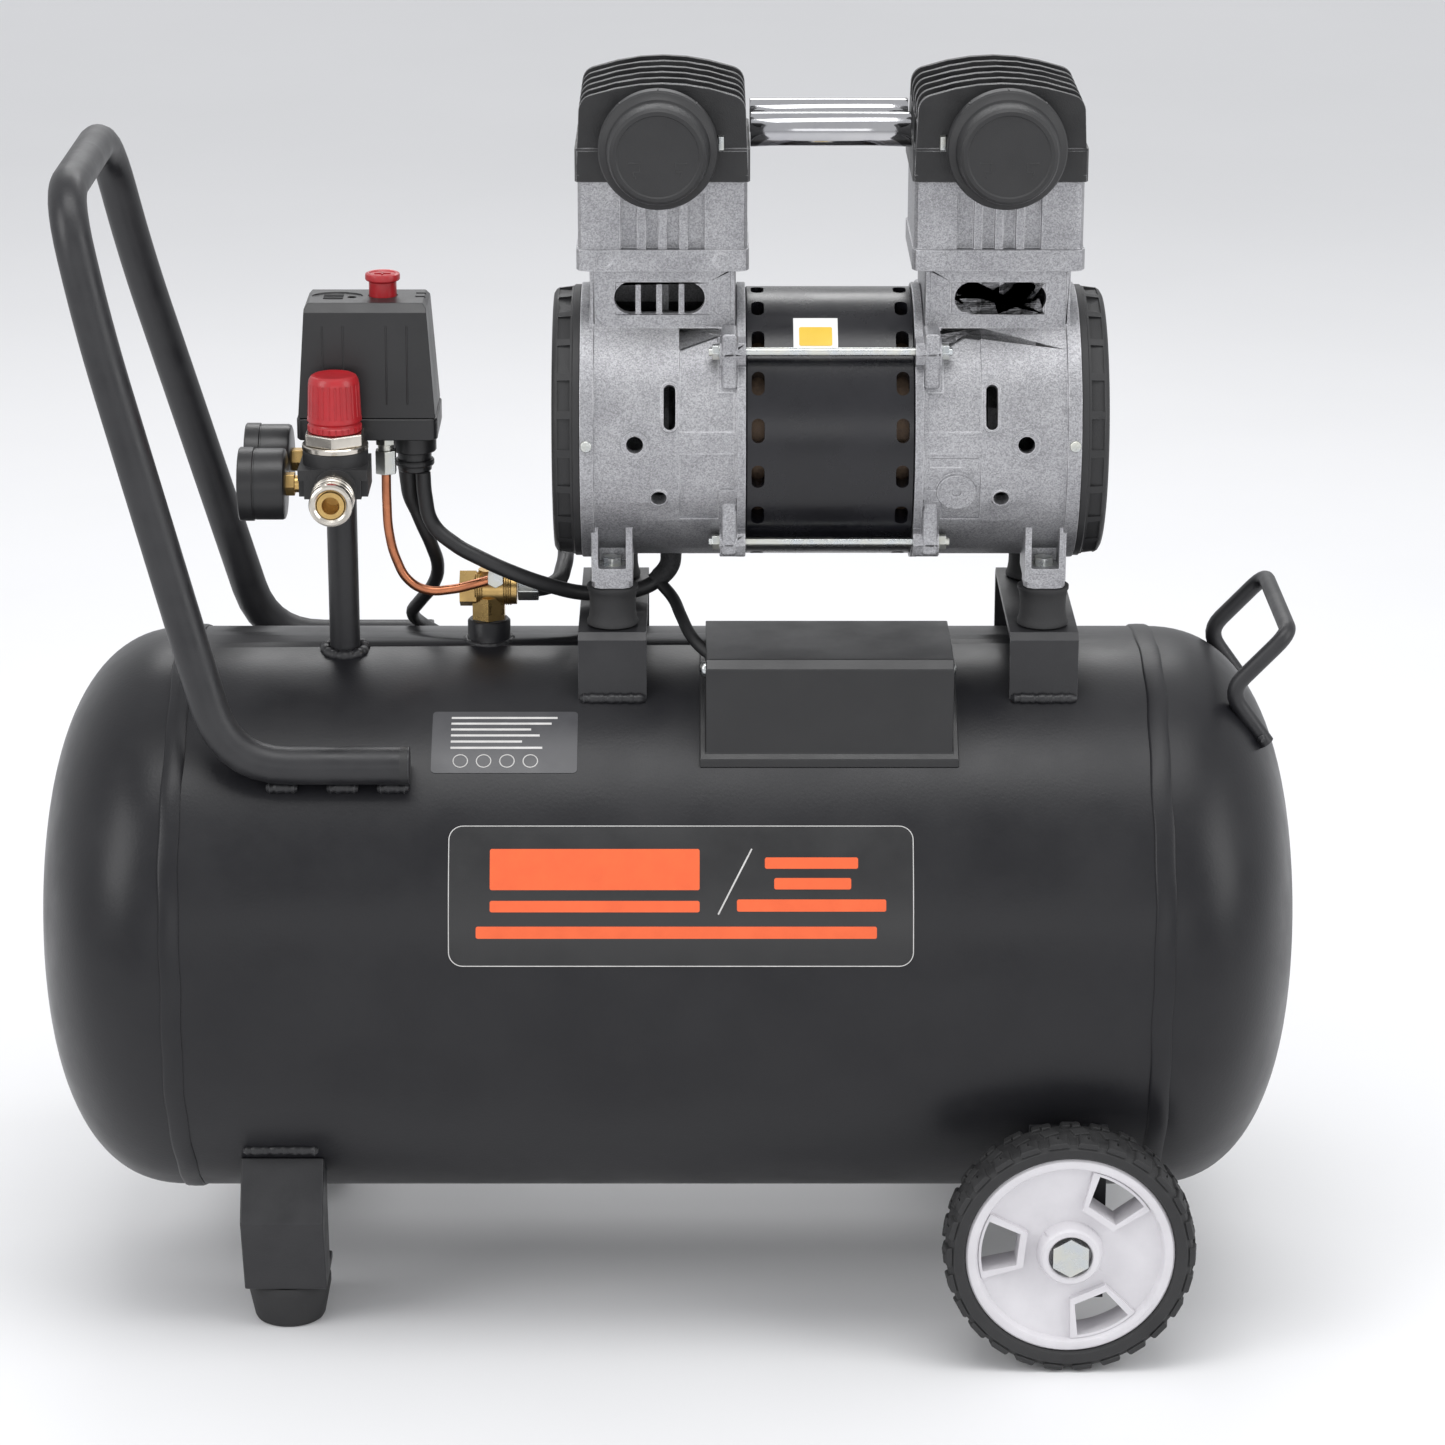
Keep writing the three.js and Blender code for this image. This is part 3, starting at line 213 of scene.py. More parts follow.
# ---- finishes ----
finishes = {
    "tankPaint": dict(colour=(0.009, 0.009, 0.011), second=(0.014, 0.014, 0.016), rough=(0.3, 0.42),
    mottle=14, grain=(520, 0.14, 0.0004), gloss=0.32),
    "bracketPaint": dict(colour=(0.011, 0.011, 0.013), second=(0.02, 0.02, 0.022), rough=(0.36, 0.5),
    mottle=40, grain=(620, 0.18, 0.0004),
                         wear=((0.12, 0.12, 0.13), 0.5, 0.0008, 160)),
    "motorGloss": dict(colour=(0.006, 0.006, 0.008), second=(0.01, 0.01, 0.013), rough=(0.22, 0.32),
    mottle=22, grain=(420, 0.1, 0.0004), gloss=0.45),
    # cast silver's flecks are random tone with painted sparkle glints
    "castSilver": dict(colour=(0.31, 0.31, 0.325), second=(0.41, 0.41, 0.425), rough=(0.4, 0.5), metal=0.75,
    mottle=26, grain=(1300, 0.35, 0.0005),
                       glintFlecks=(1500, 0.28), wear=((0.75, 0.75, 0.77), 0.85, 0.0011, 60)),
    "blackCasting": dict(colour=(0.01, 0.01, 0.011), second=(0.02, 0.02, 0.021), rough=(0.36, 0.5),
    metal=0.1, mottle=60, grain=(1200, 0.3, 0.0005),
                         wear=((0.46, 0.46, 0.47), 0.8, 0.0007, 70)),
    "matBlackPlastic": dict(colour=(0.013, 0.013, 0.014), second=(0.02, 0.02, 0.021), rough=(0.46, 0.6),
    mottle=34, grain=(1700, 0.3, 0.0004),
                            wear=((0.06, 0.06, 0.062), 0.5, 0.0006, 90)),
    "satinBlackPlastic": dict(colour=(0.011, 0.011, 0.012), second=(0.016, 0.016, 0.017), rough=(0.3, 0.42),
    mottle=26, grain=(1500, 0.14, 0.0003)),
    "polishedChrome": dict(colour=(0.5, 0.5, 0.51), second=(0.44, 0.44, 0.46), rough=(0.06, 0.14),
    metal=1.0, mottle=50, grain=(900, 0.05, 0.0002)),
    "brightZinc": dict(colour=(0.55, 0.58, 0.6), second=(0.62, 0.62, 0.56), rough=(0.22, 0.36), metal=1.0,
    mottle=90, grain=(1400, 0.15, 0.0003)),
    "nickelPlate": dict(colour=(0.62, 0.58, 0.52), second=(0.52, 0.49, 0.44), rough=(0.16, 0.28), metal=1.0,
    mottle=70, grain=(1100, 0.08, 0.0002)),
    "turnedBrass": dict(colour=(0.62, 0.42, 0.16), second=(0.5, 0.33, 0.13), rough=(0.22, 0.36), metal=1.0,
    mottle=80, grain=(1300, 0.15, 0.0003)),
    "drawnCopper": dict(colour=(0.58, 0.22, 0.11), second=(0.4, 0.15, 0.08), rough=(0.24, 0.4), metal=1.0,
    mottle=70, grain=(900, 0.1, 0.0003)),
    "darkSteel": dict(colour=(0.18, 0.18, 0.19), second=(0.26, 0.26, 0.27), rough=(0.35, 0.5), metal=1.0,
    mottle=60, grain=(1000, 0.2, 0.0003)),
    "mountRubber": dict(colour=(0.015, 0.015, 0.016), second=(0.026, 0.026, 0.027), rough=(0.6, 0.78),
    mottle=46, grain=(1300, 0.35, 0.0004)),
    "tyreRubber": dict(colour=(0.016, 0.016, 0.017), second=(0.03, 0.03, 0.031), rough=(0.62, 0.8),
    mottle=40, grain=(1500, 0.5, 0.0005),
                       wear=((0.07, 0.07, 0.07), 0.6, 0.0009, 90)),
    "rimPlastic": dict(colour=(0.6, 0.585, 0.61), second=(0.67, 0.655, 0.68), rough=(0.4, 0.52), mottle=30,
    grain=(1100, 0.14, 0.0003)),
    "redPlastic": dict(colour=(0.42, 0.012, 0.018), second=(0.34, 0.009, 0.014), rough=(0.3, 0.42),
    mottle=60, grain=(1300, 0.16, 0.0003), coat=0.15),
    "cableJacket": dict(colour=(0.012, 0.012, 0.013), second=(0.019, 0.019, 0.02), rough=(0.4, 0.55),
    mottle=60, grain=(1500, 0.2, 0.0003)),
    "paleFloor": dict(colour=(0.83, 0.83, 0.84), second=(0.85, 0.85, 0.86), rough=(0.55, 0.65), mottle=1.2,
    grain=(60, 0.02, 0.0004)),
    "dialWhite": dict(colour=(0.8, 0.8, 0.79), second=(0.76, 0.76, 0.75), rough=(0.45, 0.55), mottle=60,
    grain=(900, 0.04, 0.0002)),
    "badgeOrange": dict(colour=(0.78, 0.12, 0.03), second=(0.72, 0.105, 0.026), rough=(0.42, 0.5),
    mottle=60, grain=(900, 0.05, 0.0002)),
    "badgeLine": dict(colour=(0.62, 0.61, 0.6), second=(0.52, 0.51, 0.5), rough=(0.45, 0.55), mottle=60,
    grain=(900, 0.05, 0.0002)),
    "plateGrey": dict(colour=(0.045, 0.045, 0.05), second=(0.055, 0.055, 0.06), rough=(0.3, 0.4), mottle=50,
    grain=(900, 0.06, 0.0002)),
    "stickerYellow": dict(colour=(0.75, 0.5, 0.04), second=(0.7, 0.46, 0.035), rough=(0.4, 0.5), mottle=50,
    grain=(900, 0.05, 0.0002)),
    # windings coloured dark to stand for the shade inside the motor's air slots: painted shade
    "windingPaintedShade": dict(colour=(0.05, 0.03, 0.02), second=(0.12, 0.08, 0.05), rough=(0.35, 0.5), metal=0.6,
    mottle=300, grain=(900, 0.2, 0.0003)),
    "braidSleeve": dict(colour=(0.012, 0.012, 0.013), second=(0.035, 0.035, 0.037), rough=(0.55, 0.7),
    mottle=900, grain=(700, 0.8, 0.0008)),
    "dialBlack": dict(colour=(0.01, 0.01, 0.01), second=(0.016, 0.016, 0.016), rough=(0.5, 0.6), mottle=60,
    grain=(900, 0.04, 0.0002)),
}
materials = {}


def makeFinish(name, look):
    material = bpy.data.materials.new(name)
    material.use_nodes = True
    tree = material.node_tree
    shader = tree.nodes["Principled BSDF"]
    place = tree.nodes.new("ShaderNodeTexCoord").outputs["Object"]
    patches = placeGroup(tree, mottleGroup, Vector=place, Scale=float(look["mottle"]))
    colour = mixColour(tree, patches, look["colour"], look["second"])
    rough = addNode(tree, "ShaderNodeMapRange", i0=patches, i3=look["rough"][0],
        i4=look["rough"][1]).outputs[0]
    # Flecks scale the colour up and down: random tone, with the bright ones as painted sparkle glints.
    if "glintFlecks" in look:
        scale, share = look["glintFlecks"]
        glintFlecks = placeGroup(tree, sparkleGlintGroup, Vector=place, Scale=float(scale))
        light = addNode(tree, "ShaderNodeMapRange", i0=glintFlecks, i3=1 - share, i4=1 + share).outputs[0]
        scaled = tree.nodes.new("ShaderNodeVectorMath")
        scaled.operation = "SCALE"
        tree.links.new(colour, scaled.inputs[0])
        tree.links.new(light, scaled.inputs["Scale"])
        colour = scaled.outputs[0]
    if "wear" in look:
        wearColour, amount, width, scale = look["wear"]
        worn = placeGroup(tree, wearGroup, Vector=place, Width=width, Amount=amount, Scale=float(scale))
        colour = mixColour(tree, worn, colour, wearColour)
    tree.links.new(colour, shader.inputs["Base Color"])
    tree.links.new(rough, shader.inputs["Roughness"])
    shader.inputs["Metallic"].default_value = look.get("metal", 0.0)
    shader.inputs["Specular IOR Level"].default_value = look.get("gloss", 0.5)
    shader.inputs["Coat Weight"].default_value = look.get("coat", 0.0)
    shader.inputs["Coat Roughness"].default_value = 0.12
    grainScale, strength, distance = look["grain"]
    height = placeGroup(tree, grainGroup, Vector=place, Scale=float(grainScale))
    bump = addNode(tree, "ShaderNodeBump", Height=height, Strength=strength, Distance=distance)
    tree.links.new(bump.outputs[0], shader.inputs["Normal"])
    return material


for finishName, finishLook in finishes.items():
    materials[finishName] = makeFinish(finishName, finishLook)
clearLens = makeFinish("clearLens", dict(colour=(0.95, 0.96, 0.97), second=(0.9, 0.91, 0.92),
    rough=(0.03, 0.07), mottle=80, grain=(200, 0.01, 0.0001)))
clearLens.node_tree.nodes["Principled BSDF"].inputs["Transmission Weight"].default_value = 1.0
clearLens.node_tree.nodes["Principled BSDF"].inputs["IOR"].default_value = 1.46
materials["clearLens"] = clearLens
print("finishes made:", len(materials))
bpy.context.scene.view_settings.view_transform = "Standard"


# ---- modelling helpers ----
def selectOnly(*pieces):
    bpy.ops.object.select_all(action="DESELECT")
    for piece in pieces:
        piece.select_set(True)
    bpy.context.view_layer.objects.active = pieces[0]


def startEdit(piece, mode="VERT"):
    selectOnly(piece)
    bpy.ops.object.mode_set(mode="EDIT")
    bpy.ops.mesh.select_mode(type=mode)


def endEdit():
    bpy.ops.object.mode_set(mode="OBJECT")


def settle(piece):
    selectOnly(piece)
    bpy.ops.object.transform_apply(location=True, rotation=True, scale=True)


def applyModifier(piece, kind, **settings):
    modifier = piece.modifiers.new(kind.lower(), kind)
    for key, value in settings.items():
        setattr(modifier, key, value)
    selectOnly(piece)
    bpy.ops.object.modifier_apply(modifier=modifier.name)


def tidyMesh(piece, gap=0.00002):
    startEdit(piece)
    bpy.ops.mesh.select_all(action="SELECT")
    bpy.ops.mesh.remove_doubles(threshold=gap)
    bpy.ops.mesh.normals_make_consistent(inside=False)
    endEdit()


def roundEdges(piece, width, segments=2, angle=32, clamp=True):
    if width:
        applyModifier(piece, "BEVEL", width=width, segments=segments, limit_method="ANGLE",
            angle_limit=math.radians(angle),
                      use_clamp_overlap=clamp)
    smoothShade(piece, angle)
    applyModifier(piece, "WEIGHTED_NORMAL", keep_sharp=True)


def smoothShade(piece, angle=32):
    selectOnly(piece)
    bpy.ops.object.shade_smooth_by_angle(angle=math.radians(angle))


def dress(piece, name, finish, body="frame", replaced=()):
    piece.name = name
    piece.data.name = name
    if finish:
        piece.data.materials.clear()
        piece.data.materials.append(materials[finish])
    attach(piece, body)
    if replaced:
        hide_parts(*replaced)
    return piece


# Gives a CAD piece that stays as it is the finish of the real one.
def refinish(nodeName, finish):
    nodes[nodeName].data.materials.clear()
    nodes[nodeName].data.materials.append(materials[finish])


def bodyOf(nodeName):
    return nodes[nodeName]["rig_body"]


def cadCopy(nodeName):
    copy = nodes[nodeName].copy()
    copy.data = nodes[nodeName].data.copy()
    copy.parent = None
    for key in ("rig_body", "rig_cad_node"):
        del copy[key]
    bpy.context.scene.collection.objects.link(copy)
    startEdit(copy)
    bpy.ops.mesh.select_all(action="SELECT")
    bpy.ops.mesh.remove_doubles(threshold=0.00001)
    bpy.ops.mesh.customdata_custom_splitnormals_clear()
    bpy.ops.mesh.dissolve_limited(angle_limit=math.radians(0.6))
    endEdit()
    return copy


def addBlock(low, high):
    centre = [(a + b) / 2 for a, b in zip(low, high)]
    bpy.ops.mesh.primitive_cube_add(size=1, location=centre, scale=[b - a for a, b in zip(low, high)])
    piece = bpy.context.active_object
    settle(piece)
    return piece


turnFor = {"x": (0, math.pi / 2, 0), "y": (math.pi / 2, 0, 0), "z": (0, 0, 0)}


def addRod(axis, start, end, radius, centre, sides=32, endRadius=None):
    place = Vector(centre)
    place["xyz".index(axis)] = (start + end) / 2
    flip = -1 if axis == "y" else 1
    first, last = (radius, radius if endRadius is None else endRadius)
    if flip < 0:
        first, last = last, first
    bpy.ops.mesh.primitive_cone_add(vertices=sides, radius1=first, radius2=last, depth=end - start,
        location=place, rotation=turnFor[axis])
    piece = bpy.context.active_object
    settle(piece)
    return piece


def pushVertices(piece, chosen, shift):
    startEdit(piece)
    bpy.ops.mesh.select_all(action="DESELECT")
    endEdit()
    for vertex in piece.data.vertices:
        vertex.select = chosen(vertex.co)
    startEdit(piece)
    bpy.ops.transform.translate(value=shift)
    endEdit()


def addSlot(centre, halfWidth, halfLength, depth, turn=(0, 0, 0), sides=24):
    bpy.ops.mesh.primitive_cylinder_add(vertices=sides, radius=halfWidth, depth=depth)
    piece = bpy.context.active_object
    for side in (1, -1):
        pushVertices(piece, lambda co: co.y * side > 1e-6, (0, side * (halfLength - halfWidth), 0))
    piece.rotation_euler = turn
    piece.location = centre
    settle(piece)
    return piece


def joined(pieces):
    selectOnly(*pieces)
    if len(pieces) > 1:
        bpy.ops.object.join()
    return pieces[0]


def combine(piece, tools, operation="DIFFERENCE"):
    for tool in tools:
        applyModifier(piece, "BOOLEAN", operation=operation, object=tool, solver="MANIFOLD")
        bpy.data.objects.remove(tool)
    return piece


# Draws an outline point by point and spins it. Points are (radius, place along the axis).
def turnedPiece(outline, axis, centre, steps=64, closed=True):
    bpy.ops.mesh.primitive_plane_add(size=1)
    piece = bpy.context.active_object
    startEdit(piece)
    bpy.ops.mesh.select_all(action="SELECT")
    bpy.ops.mesh.merge(type="CENTER")
    along = {"x": Vector((1, 0, 0)), "y": Vector((0, 1, 0)), "z": Vector((0, 0, 1))}[axis]
    across = {"x": Vector((0, 0, 1)), "y": Vector((0, 0, 1)), "z": Vector((1, 0, 0))}[axis]
    points = [across * radius + along * place for radius, place in outline]
    bpy.ops.transform.translate(value=points[0])
    for before, after in zip(points, points[1:]):
        bpy.ops.mesh.extrude_region_move(TRANSFORM_OT_translate=dict(value=after - before))
    bpy.ops.mesh.select_all(action="SELECT")
    if closed:
        bpy.ops.mesh.remove_doubles(threshold=0.00001)
        bpy.ops.mesh.select_all(action="SELECT")
    bpy.ops.mesh.spin(steps=steps, angle=math.tau, center=(0, 0, 0), axis=along, dupli=False)
    bpy.ops.mesh.select_all(action="SELECT")
    bpy.ops.mesh.remove_doubles(threshold=0.00002)
    bpy.ops.mesh.dissolve_degenerate(threshold=0.00001)
    bpy.ops.mesh.normals_make_consistent(inside=False)
    endEdit()
    piece.location = centre
    settle(piece)
    return piece


# Points given in millimetres, with the height from the tank's axis.
def fromAxis(points):
    return [(x * mm, y * mm, axisZ + z * mm) for x, y, z in points]


# A tube on a smooth line through the points; radii may change from point to point.
def tubeCurve(points, radius, sides=6, resolution=8, radii=None, handle="AUTO"):
    bpy.ops.curve.primitive_bezier_curve_add()
    piece = bpy.context.active_object
    curve = piece.data
    curve.dimensions = "3D"
    spline = curve.splines[0]
    spline.bezier_points.add(len(points) - 2)
    for i, point in enumerate(points):
        knot = spline.bezier_points[i]
        knot.co = point
        knot.handle_left_type = knot.handle_right_type = handle
        knot.radius = radii[i] if radii else 1
        knot.tilt = 0
    curve.resolution_u = resolution
    curve.bevel_depth = radius
    curve.bevel_resolution = sides
    curve.use_fill_caps = True
    return piece


def tubePiece(points, radius, **settings):
    piece = tubeCurve(points, radius, **settings)
    selectOnly(piece)
    bpy.ops.object.convert(target="MESH")
    piece = bpy.context.active_object
    tidyMesh(piece)
    smoothShade(piece, 50)
    return piece


# Straight runs joined by round bends, as a bent tube has.
def bentPoints(corners, bend, steps=6):
    points = [Vector(corners[0])]
    for before, corner, after in zip(corners, corners[1:], corners[2:]):
        before, corner, after = Vector(before), Vector(corner), Vector(after)
        into = corner.lerp(before, bend / (corner - before).length)
        out = corner.lerp(after, bend / (corner - after).length)
        for i in range(steps + 1):
            t = i / steps
            points.append(into * (1 - t) ** 2 + corner * 2 * t * (1 - t) + out * t ** 2)
    points.append(Vector(corners[-1]))
    return points


# A flat outline pushed out along an axis. Points are (x, z) for y, (y, z) for x and (x, y) for z.
def prismPiece(outline, axis, start, end):
    spread = {"x": lambda u, v, w: Vector((w, u, v)), "y": lambda u, v, w: Vector((u, w, v)), "z": lambda u,
        v, w: Vector((u, v, w))}[axis]
    points = [spread(u, v, start) for u, v in outline]
    bpy.ops.mesh.primitive_plane_add(size=1)
    piece = bpy.context.active_object
    startEdit(piece)
    bpy.ops.mesh.select_all(action="SELECT")
    bpy.ops.mesh.merge(type="CENTER")
    bpy.ops.transform.translate(value=points[0])
    for before, after in zip(points, [*points[1:], points[0]]):
        bpy.ops.mesh.extrude_region_move(TRANSFORM_OT_translate=dict(value=after - before))
    bpy.ops.mesh.select_all(action="SELECT")
    bpy.ops.mesh.remove_doubles(threshold=0.00001)
    bpy.ops.mesh.select_all(action="SELECT")
    bpy.ops.mesh.edge_face_add()
    bpy.ops.mesh.extrude_region_move(TRANSFORM_OT_translate=dict(value=spread(0, 0, end - start)))
    bpy.ops.mesh.select_all(action="SELECT")
    bpy.ops.mesh.normals_make_consistent(inside=False)
    endEdit()
    return piece


# Repeats a piece around an axis through a centre.
def ringCopies(piece, axis, centre, count):
    turn = Matrix.Rotation(math.tau / count, 4, axis.upper())
    bpy.ops.object.empty_add()
    guide = bpy.context.active_object
    guide.matrix_world = Matrix.Translation(centre) @ turn @ Matrix.Translation(-Vector(centre))
    bpy.context.view_layer.update()
    applyModifier(piece, "ARRAY", count=count, use_relative_offset=False, use_constant_offset=False,
        use_object_offset=True,
                  offset_object=guide)
    bpy.data.objects.remove(guide)
    return piece


# A thin patch lying on a cylinder along X. Angles are degrees above the front, the radius is the cylinder's.
def wrapPatch(x0, x1, low, high, radius, centreZ, corner=0.0, thickness=0.0003, cuts=12):
    reach = math.radians(high - low) * radius
    bpy.ops.mesh.primitive_plane_add(size=1)
    piece = bpy.context.active_object
    piece.scale = (x1 - x0, reach, 1)
    settle(piece)
    startEdit(piece)
    bpy.ops.mesh.select_all(action="SELECT")
    if corner:
        bpy.ops.mesh.bevel(offset=corner, segments=6, affect="VERTICES")
    for i in range(1, cuts):
        bpy.ops.mesh.select_all(action="SELECT")
        bpy.ops.mesh.bisect(plane_co=(0, (i / cuts - 0.5) * reach, 0), plane_no=(0, 1, 0))
    endEdit()
    middleAngle = math.radians((low + high) / 2)
    for vertex in piece.data.vertices:
        angle = middleAngle + vertex.co.y / radius
        vertex.co = ((x0 + x1) / 2 + vertex.co.x, -radius * math.cos(angle),
            centreZ + radius * math.sin(angle))
    applyModifier(piece, "SOLIDIFY", thickness=thickness, offset=1)
    smoothShade(piece, 40)
    return piece


# A rippled bead of weld along a line.
def weldBead(points, radius, ripples=24):
    line = [Vector(point) for point in points]
    lengths = [0.0]
    for before, after in zip(line, line[1:]):
        lengths.append(lengths[-1] + (after - before).length)
    spread, swell = [], []
    for i in range(ripples + 1):
        reach = lengths[-1] * i / ripples
        k = max(j for j in range(len(line)) if lengths[j] <= reach + 1e-9)
        k = min(k, len(line) - 2)
        share = (reach - lengths[k]) / (lengths[k + 1] - lengths[k])
        spread.append(line[k].lerp(line[k + 1], share))
        swell.append(0.55 if i in (0,
            ripples) else 1.0 + 0.14 * math.sin(i * 2.4) + 0.06 * math.sin(i * 5.1))
    return tubePiece(spread, radius, sides=4, resolution=2, radii=swell)


# ---- power cord, its spare coil and the plug ----
cordLook = dict(
    radius=0.004, length=1.75, turnRadius=0.048, route=[
        (-153, -3, 499.6), (-152, -2, 483), (-147, 0, 467), (-141, 6, 450), (-138, 16, 434), (-142, 30,
        418),
        (-151, 46, 403), (-157, 65, 390), (-153, 88, 376), (-141, 113, 359), (-133, 135, 337), (-130, 153,
        312),
        (-129, 166, 284), (-129, 174, 254), (-130, 177, 222), (-131, 178, 181), (-132, 178, 141), (-134,
        179, 101),
        (-137, 182, 68), (-141, 188, 38), (-146, 199, 16), (-149, 218, 6), (-150, 236, 4.3), (-149, 250,
        4.3), (-148, 262, 4.3),
    ])
cordRoute = [Vector(point) * mm for point in cordLook["route"]]
coilLow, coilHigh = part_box("cord_coil")
plugLow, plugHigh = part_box("power_plug")
coilCentre = Vector(((coilLow.x + coilHigh.x) / 2, (coilLow.y + coilHigh.y) / 2, 0))
coilTurns = 3.5


def coilPoint(turn):
    # Bottom layer outside then inside, top layer inside then outside, one turn each.
    def ease(a, b):
        t = min(1, max(0, (turn - a) / (b - a)))
        return t * t * (3 - 2 * t)
    radius = cordLook["turnRadius"] + 0.004 - 0.008 * ease(0.9, 1.1) + 0.008 * ease(2.9, 3.1)
    height = 0.0043 + 0.0081 * ease(1.88, 2.12)
    angle = math.pi - turn * math.tau
    return coilCentre + Vector((radius * math.cos(angle), radius * math.sin(angle), height))


pointsPerTurn = 20
coilPoints = [coilPoint(i / pointsPerTurn) for i in range(int(coilTurns * pointsPerTurn) + 1)]
plugX = (plugLow.x + plugHigh.x) / 2
cordEnd = [Vector((plugX, coilCentre.y + (plugHigh.y - coilCentre.y) * share, 0.0124 - 0.0004 * share))
    for share in (0.35, 0.7, 1.0)]
cordLine = cordRoute + [Vector((-0.148, 0.276, 0.0043))] + coilPoints + cordEnd
powerCord = tubeCurve(cordLine, cordLook["radius"], sides=5, resolution=4)
dress(powerCord, "powerCord", "cableJacket", replaced=("power_cord", "cord_coil"))
drawnLength = sum((b - a).length for a, b in zip(cordLine, cordLine[1:]))
print("cord points", len(cordLine), "chord length", round(drawnLength, 4))

reliefLine = cordRoute[:3]
cordRelief = tubePiece([reliefLine[0], reliefLine[0].lerp(reliefLine[1], 0.5), reliefLine[1],
    reliefLine[1].lerp(reliefLine[2], 0.6)],
                       0.0062, sides=6, radii=[1.0, 0.95, 0.84, 0.72])
dress(cordRelief, "cordRelief", "matBlackPlastic")

plugLook = dict(width=26, height=22, depth=30, neck=12)
plugMiddle = (plugLow + plugHigh) / 2
plugBack = plugHigh.y
bodyBack = plugBack - plugLook["neck"] * mm
bodyFront = bodyBack - plugLook["depth"] * mm
halfWidth = plugLook["width"] / 2 * mm
plugBody = addBlock((plugMiddle.x - halfWidth, bodyFront, plugLow.z),
    (plugMiddle.x + halfWidth, bodyBack, plugLow.z + plugLook["height"] * mm))
startEdit(plugBody, "FACE")
bpy.ops.mesh.select_all(action="DESELECT")
endEdit()
for face in plugBody.data.polygons:
    face.select = face.normal.y > 0.9
startEdit(plugBody, "FACE")
bpy.ops.mesh.inset(thickness=0.003)
bpy.ops.transform.resize(value=(0.8, 1, 0.8))
endEdit()
roundEdges(plugBody, 0.0028, 4)
neckRings = [(0.0, 0.0), (0.0072, 0.0), (0.0072, 0.0022), (0.0058, 0.0026), (0.0058, 0.004),
    (0.0066, 0.0044), (0.0066, 0.0062),
             (0.0054, 0.0066), (0.0054, 0.008), (0.006, 0.0084), (0.0058, 0.0104), (0.0048, 0.0118), (0.0,
             0.0118)]
plugNeck = turnedPiece([(r, bodyBack - 0.0002 + a) for r, a in neckRings], "y", (plugMiddle.x, 0, 0.012),
    32)
smoothShade(plugNeck)
dress(joined([plugBody, plugNeck]), "plugBody", "matBlackPlastic", replaced=("power_plug",))
blades = [addBlock((plugMiddle.x + x, bodyFront - 0.0165, 0.012),
    (plugMiddle.x + x + 0.0015, bodyFront + 0.001, 0.018)) for x in (-0.007, 0.0055)]
bladePin = addRod("y", bodyFront - 0.0195, bodyFront + 0.001, 0.0023, (plugMiddle.x, 0, 0.006), 24)
plugBlades = joined([*blades, bladePin])
roundEdges(plugBlades, 0.0005, 2)
dress(plugBlades, "plugBlades", "nickelPlate")
print("cord made")

# ---- tank ----
tank = dict(radius=0.170, halfShell=0.288, headDepth=0.088, squareness=2.5, seamWidth=0.0125)
tankCentre = (0, 0, axisZ)


def headRadius(beyond):
    share = min(1.0, beyond / tank["headDepth"])
    return tank["radius"] * (1 - share ** tank["squareness"]) ** (1 / tank["squareness"])


headSteps = 30
rightHead = []
for i in range(headSteps, -1, -1):
    beyond = tank["headDepth"] * math.sin(math.pi / 2 * i / headSteps) ** 0.8
    rightHead.append((0.0 if i == headSteps else headRadius(beyond), tank["halfShell"] + beyond))
tankOutline = [(r, -a) for r, a in rightHead] + list(reversed(rightHead))
tankShell = turnedPiece(tankOutline, "x", tankCentre, 128, closed=False)
port = turnedPiece([(0.0, 0.160), (0.0128, 0.160), (0.0128, 0.1815), (0.0115, 0.1828), (0.0065, 0.1828),
    (0.0062, 0.178), (0.0, 0.178)], "z", (-0.107, 0, axisZ), 40)
drain = addRod("z", axisZ - 0.179, axisZ - 0.162, 0.0088, (0, 0, 0), 6)
roundEdges(drain, 0.0006, 2)
for fitting in (port, drain):
    combine(tankShell, [fitting], "UNION")
smoothShade(tankShell, 40)
dress(tankShell, "tankShell", "tankPaint", replaced=("tank",))

seamOutline = [(-0.5, -0.0016), (-0.47, 0.0005), (-0.36, 0.0011), (0.0, 0.0013), (0.34, 0.0012),
    (0.47, 0.0006), (0.5, -0.0016)]
seams = []
for side in (-1, 1):
    outline = [(tank["radius"] + rise, side * (tank["halfShell"] - 0.002) + share * tank["seamWidth"])
        for share, rise in seamOutline]
    seam = turnedPiece([*outline, outline[0]], "x", tankCentre, 160)
    for vertex in seam.data.vertices:
        around = math.atan2(vertex.co.z - axisZ, vertex.co.y)
        vertex.co.x += 0.0006 * math.sin(around * 7 + side) + 0.0003 * math.sin(around * 23)
    smoothShade(seam, 60)
    seams.append(seam)
dress(joined(seams), "tankSeams", "tankPaint")

badge = dict(x=(-0.1255, 0.142), angles=(8.4, 36.0), corner=0.0085)
plate = wrapPatch(*badge["x"], *badge["angles"], tank["radius"] + 0.0001, axisZ, corner=badge["corner"],
    thickness=0.0002, cuts=16)
dress(plate, "tankBadge", "satinBlackPlastic")


def onTank(x, angle, rise=0.0004):
    a = math.radians(angle)
    r = tank["radius"] + rise
    return Vector((x, -r * math.cos(a), axisZ + r * math.sin(a)))


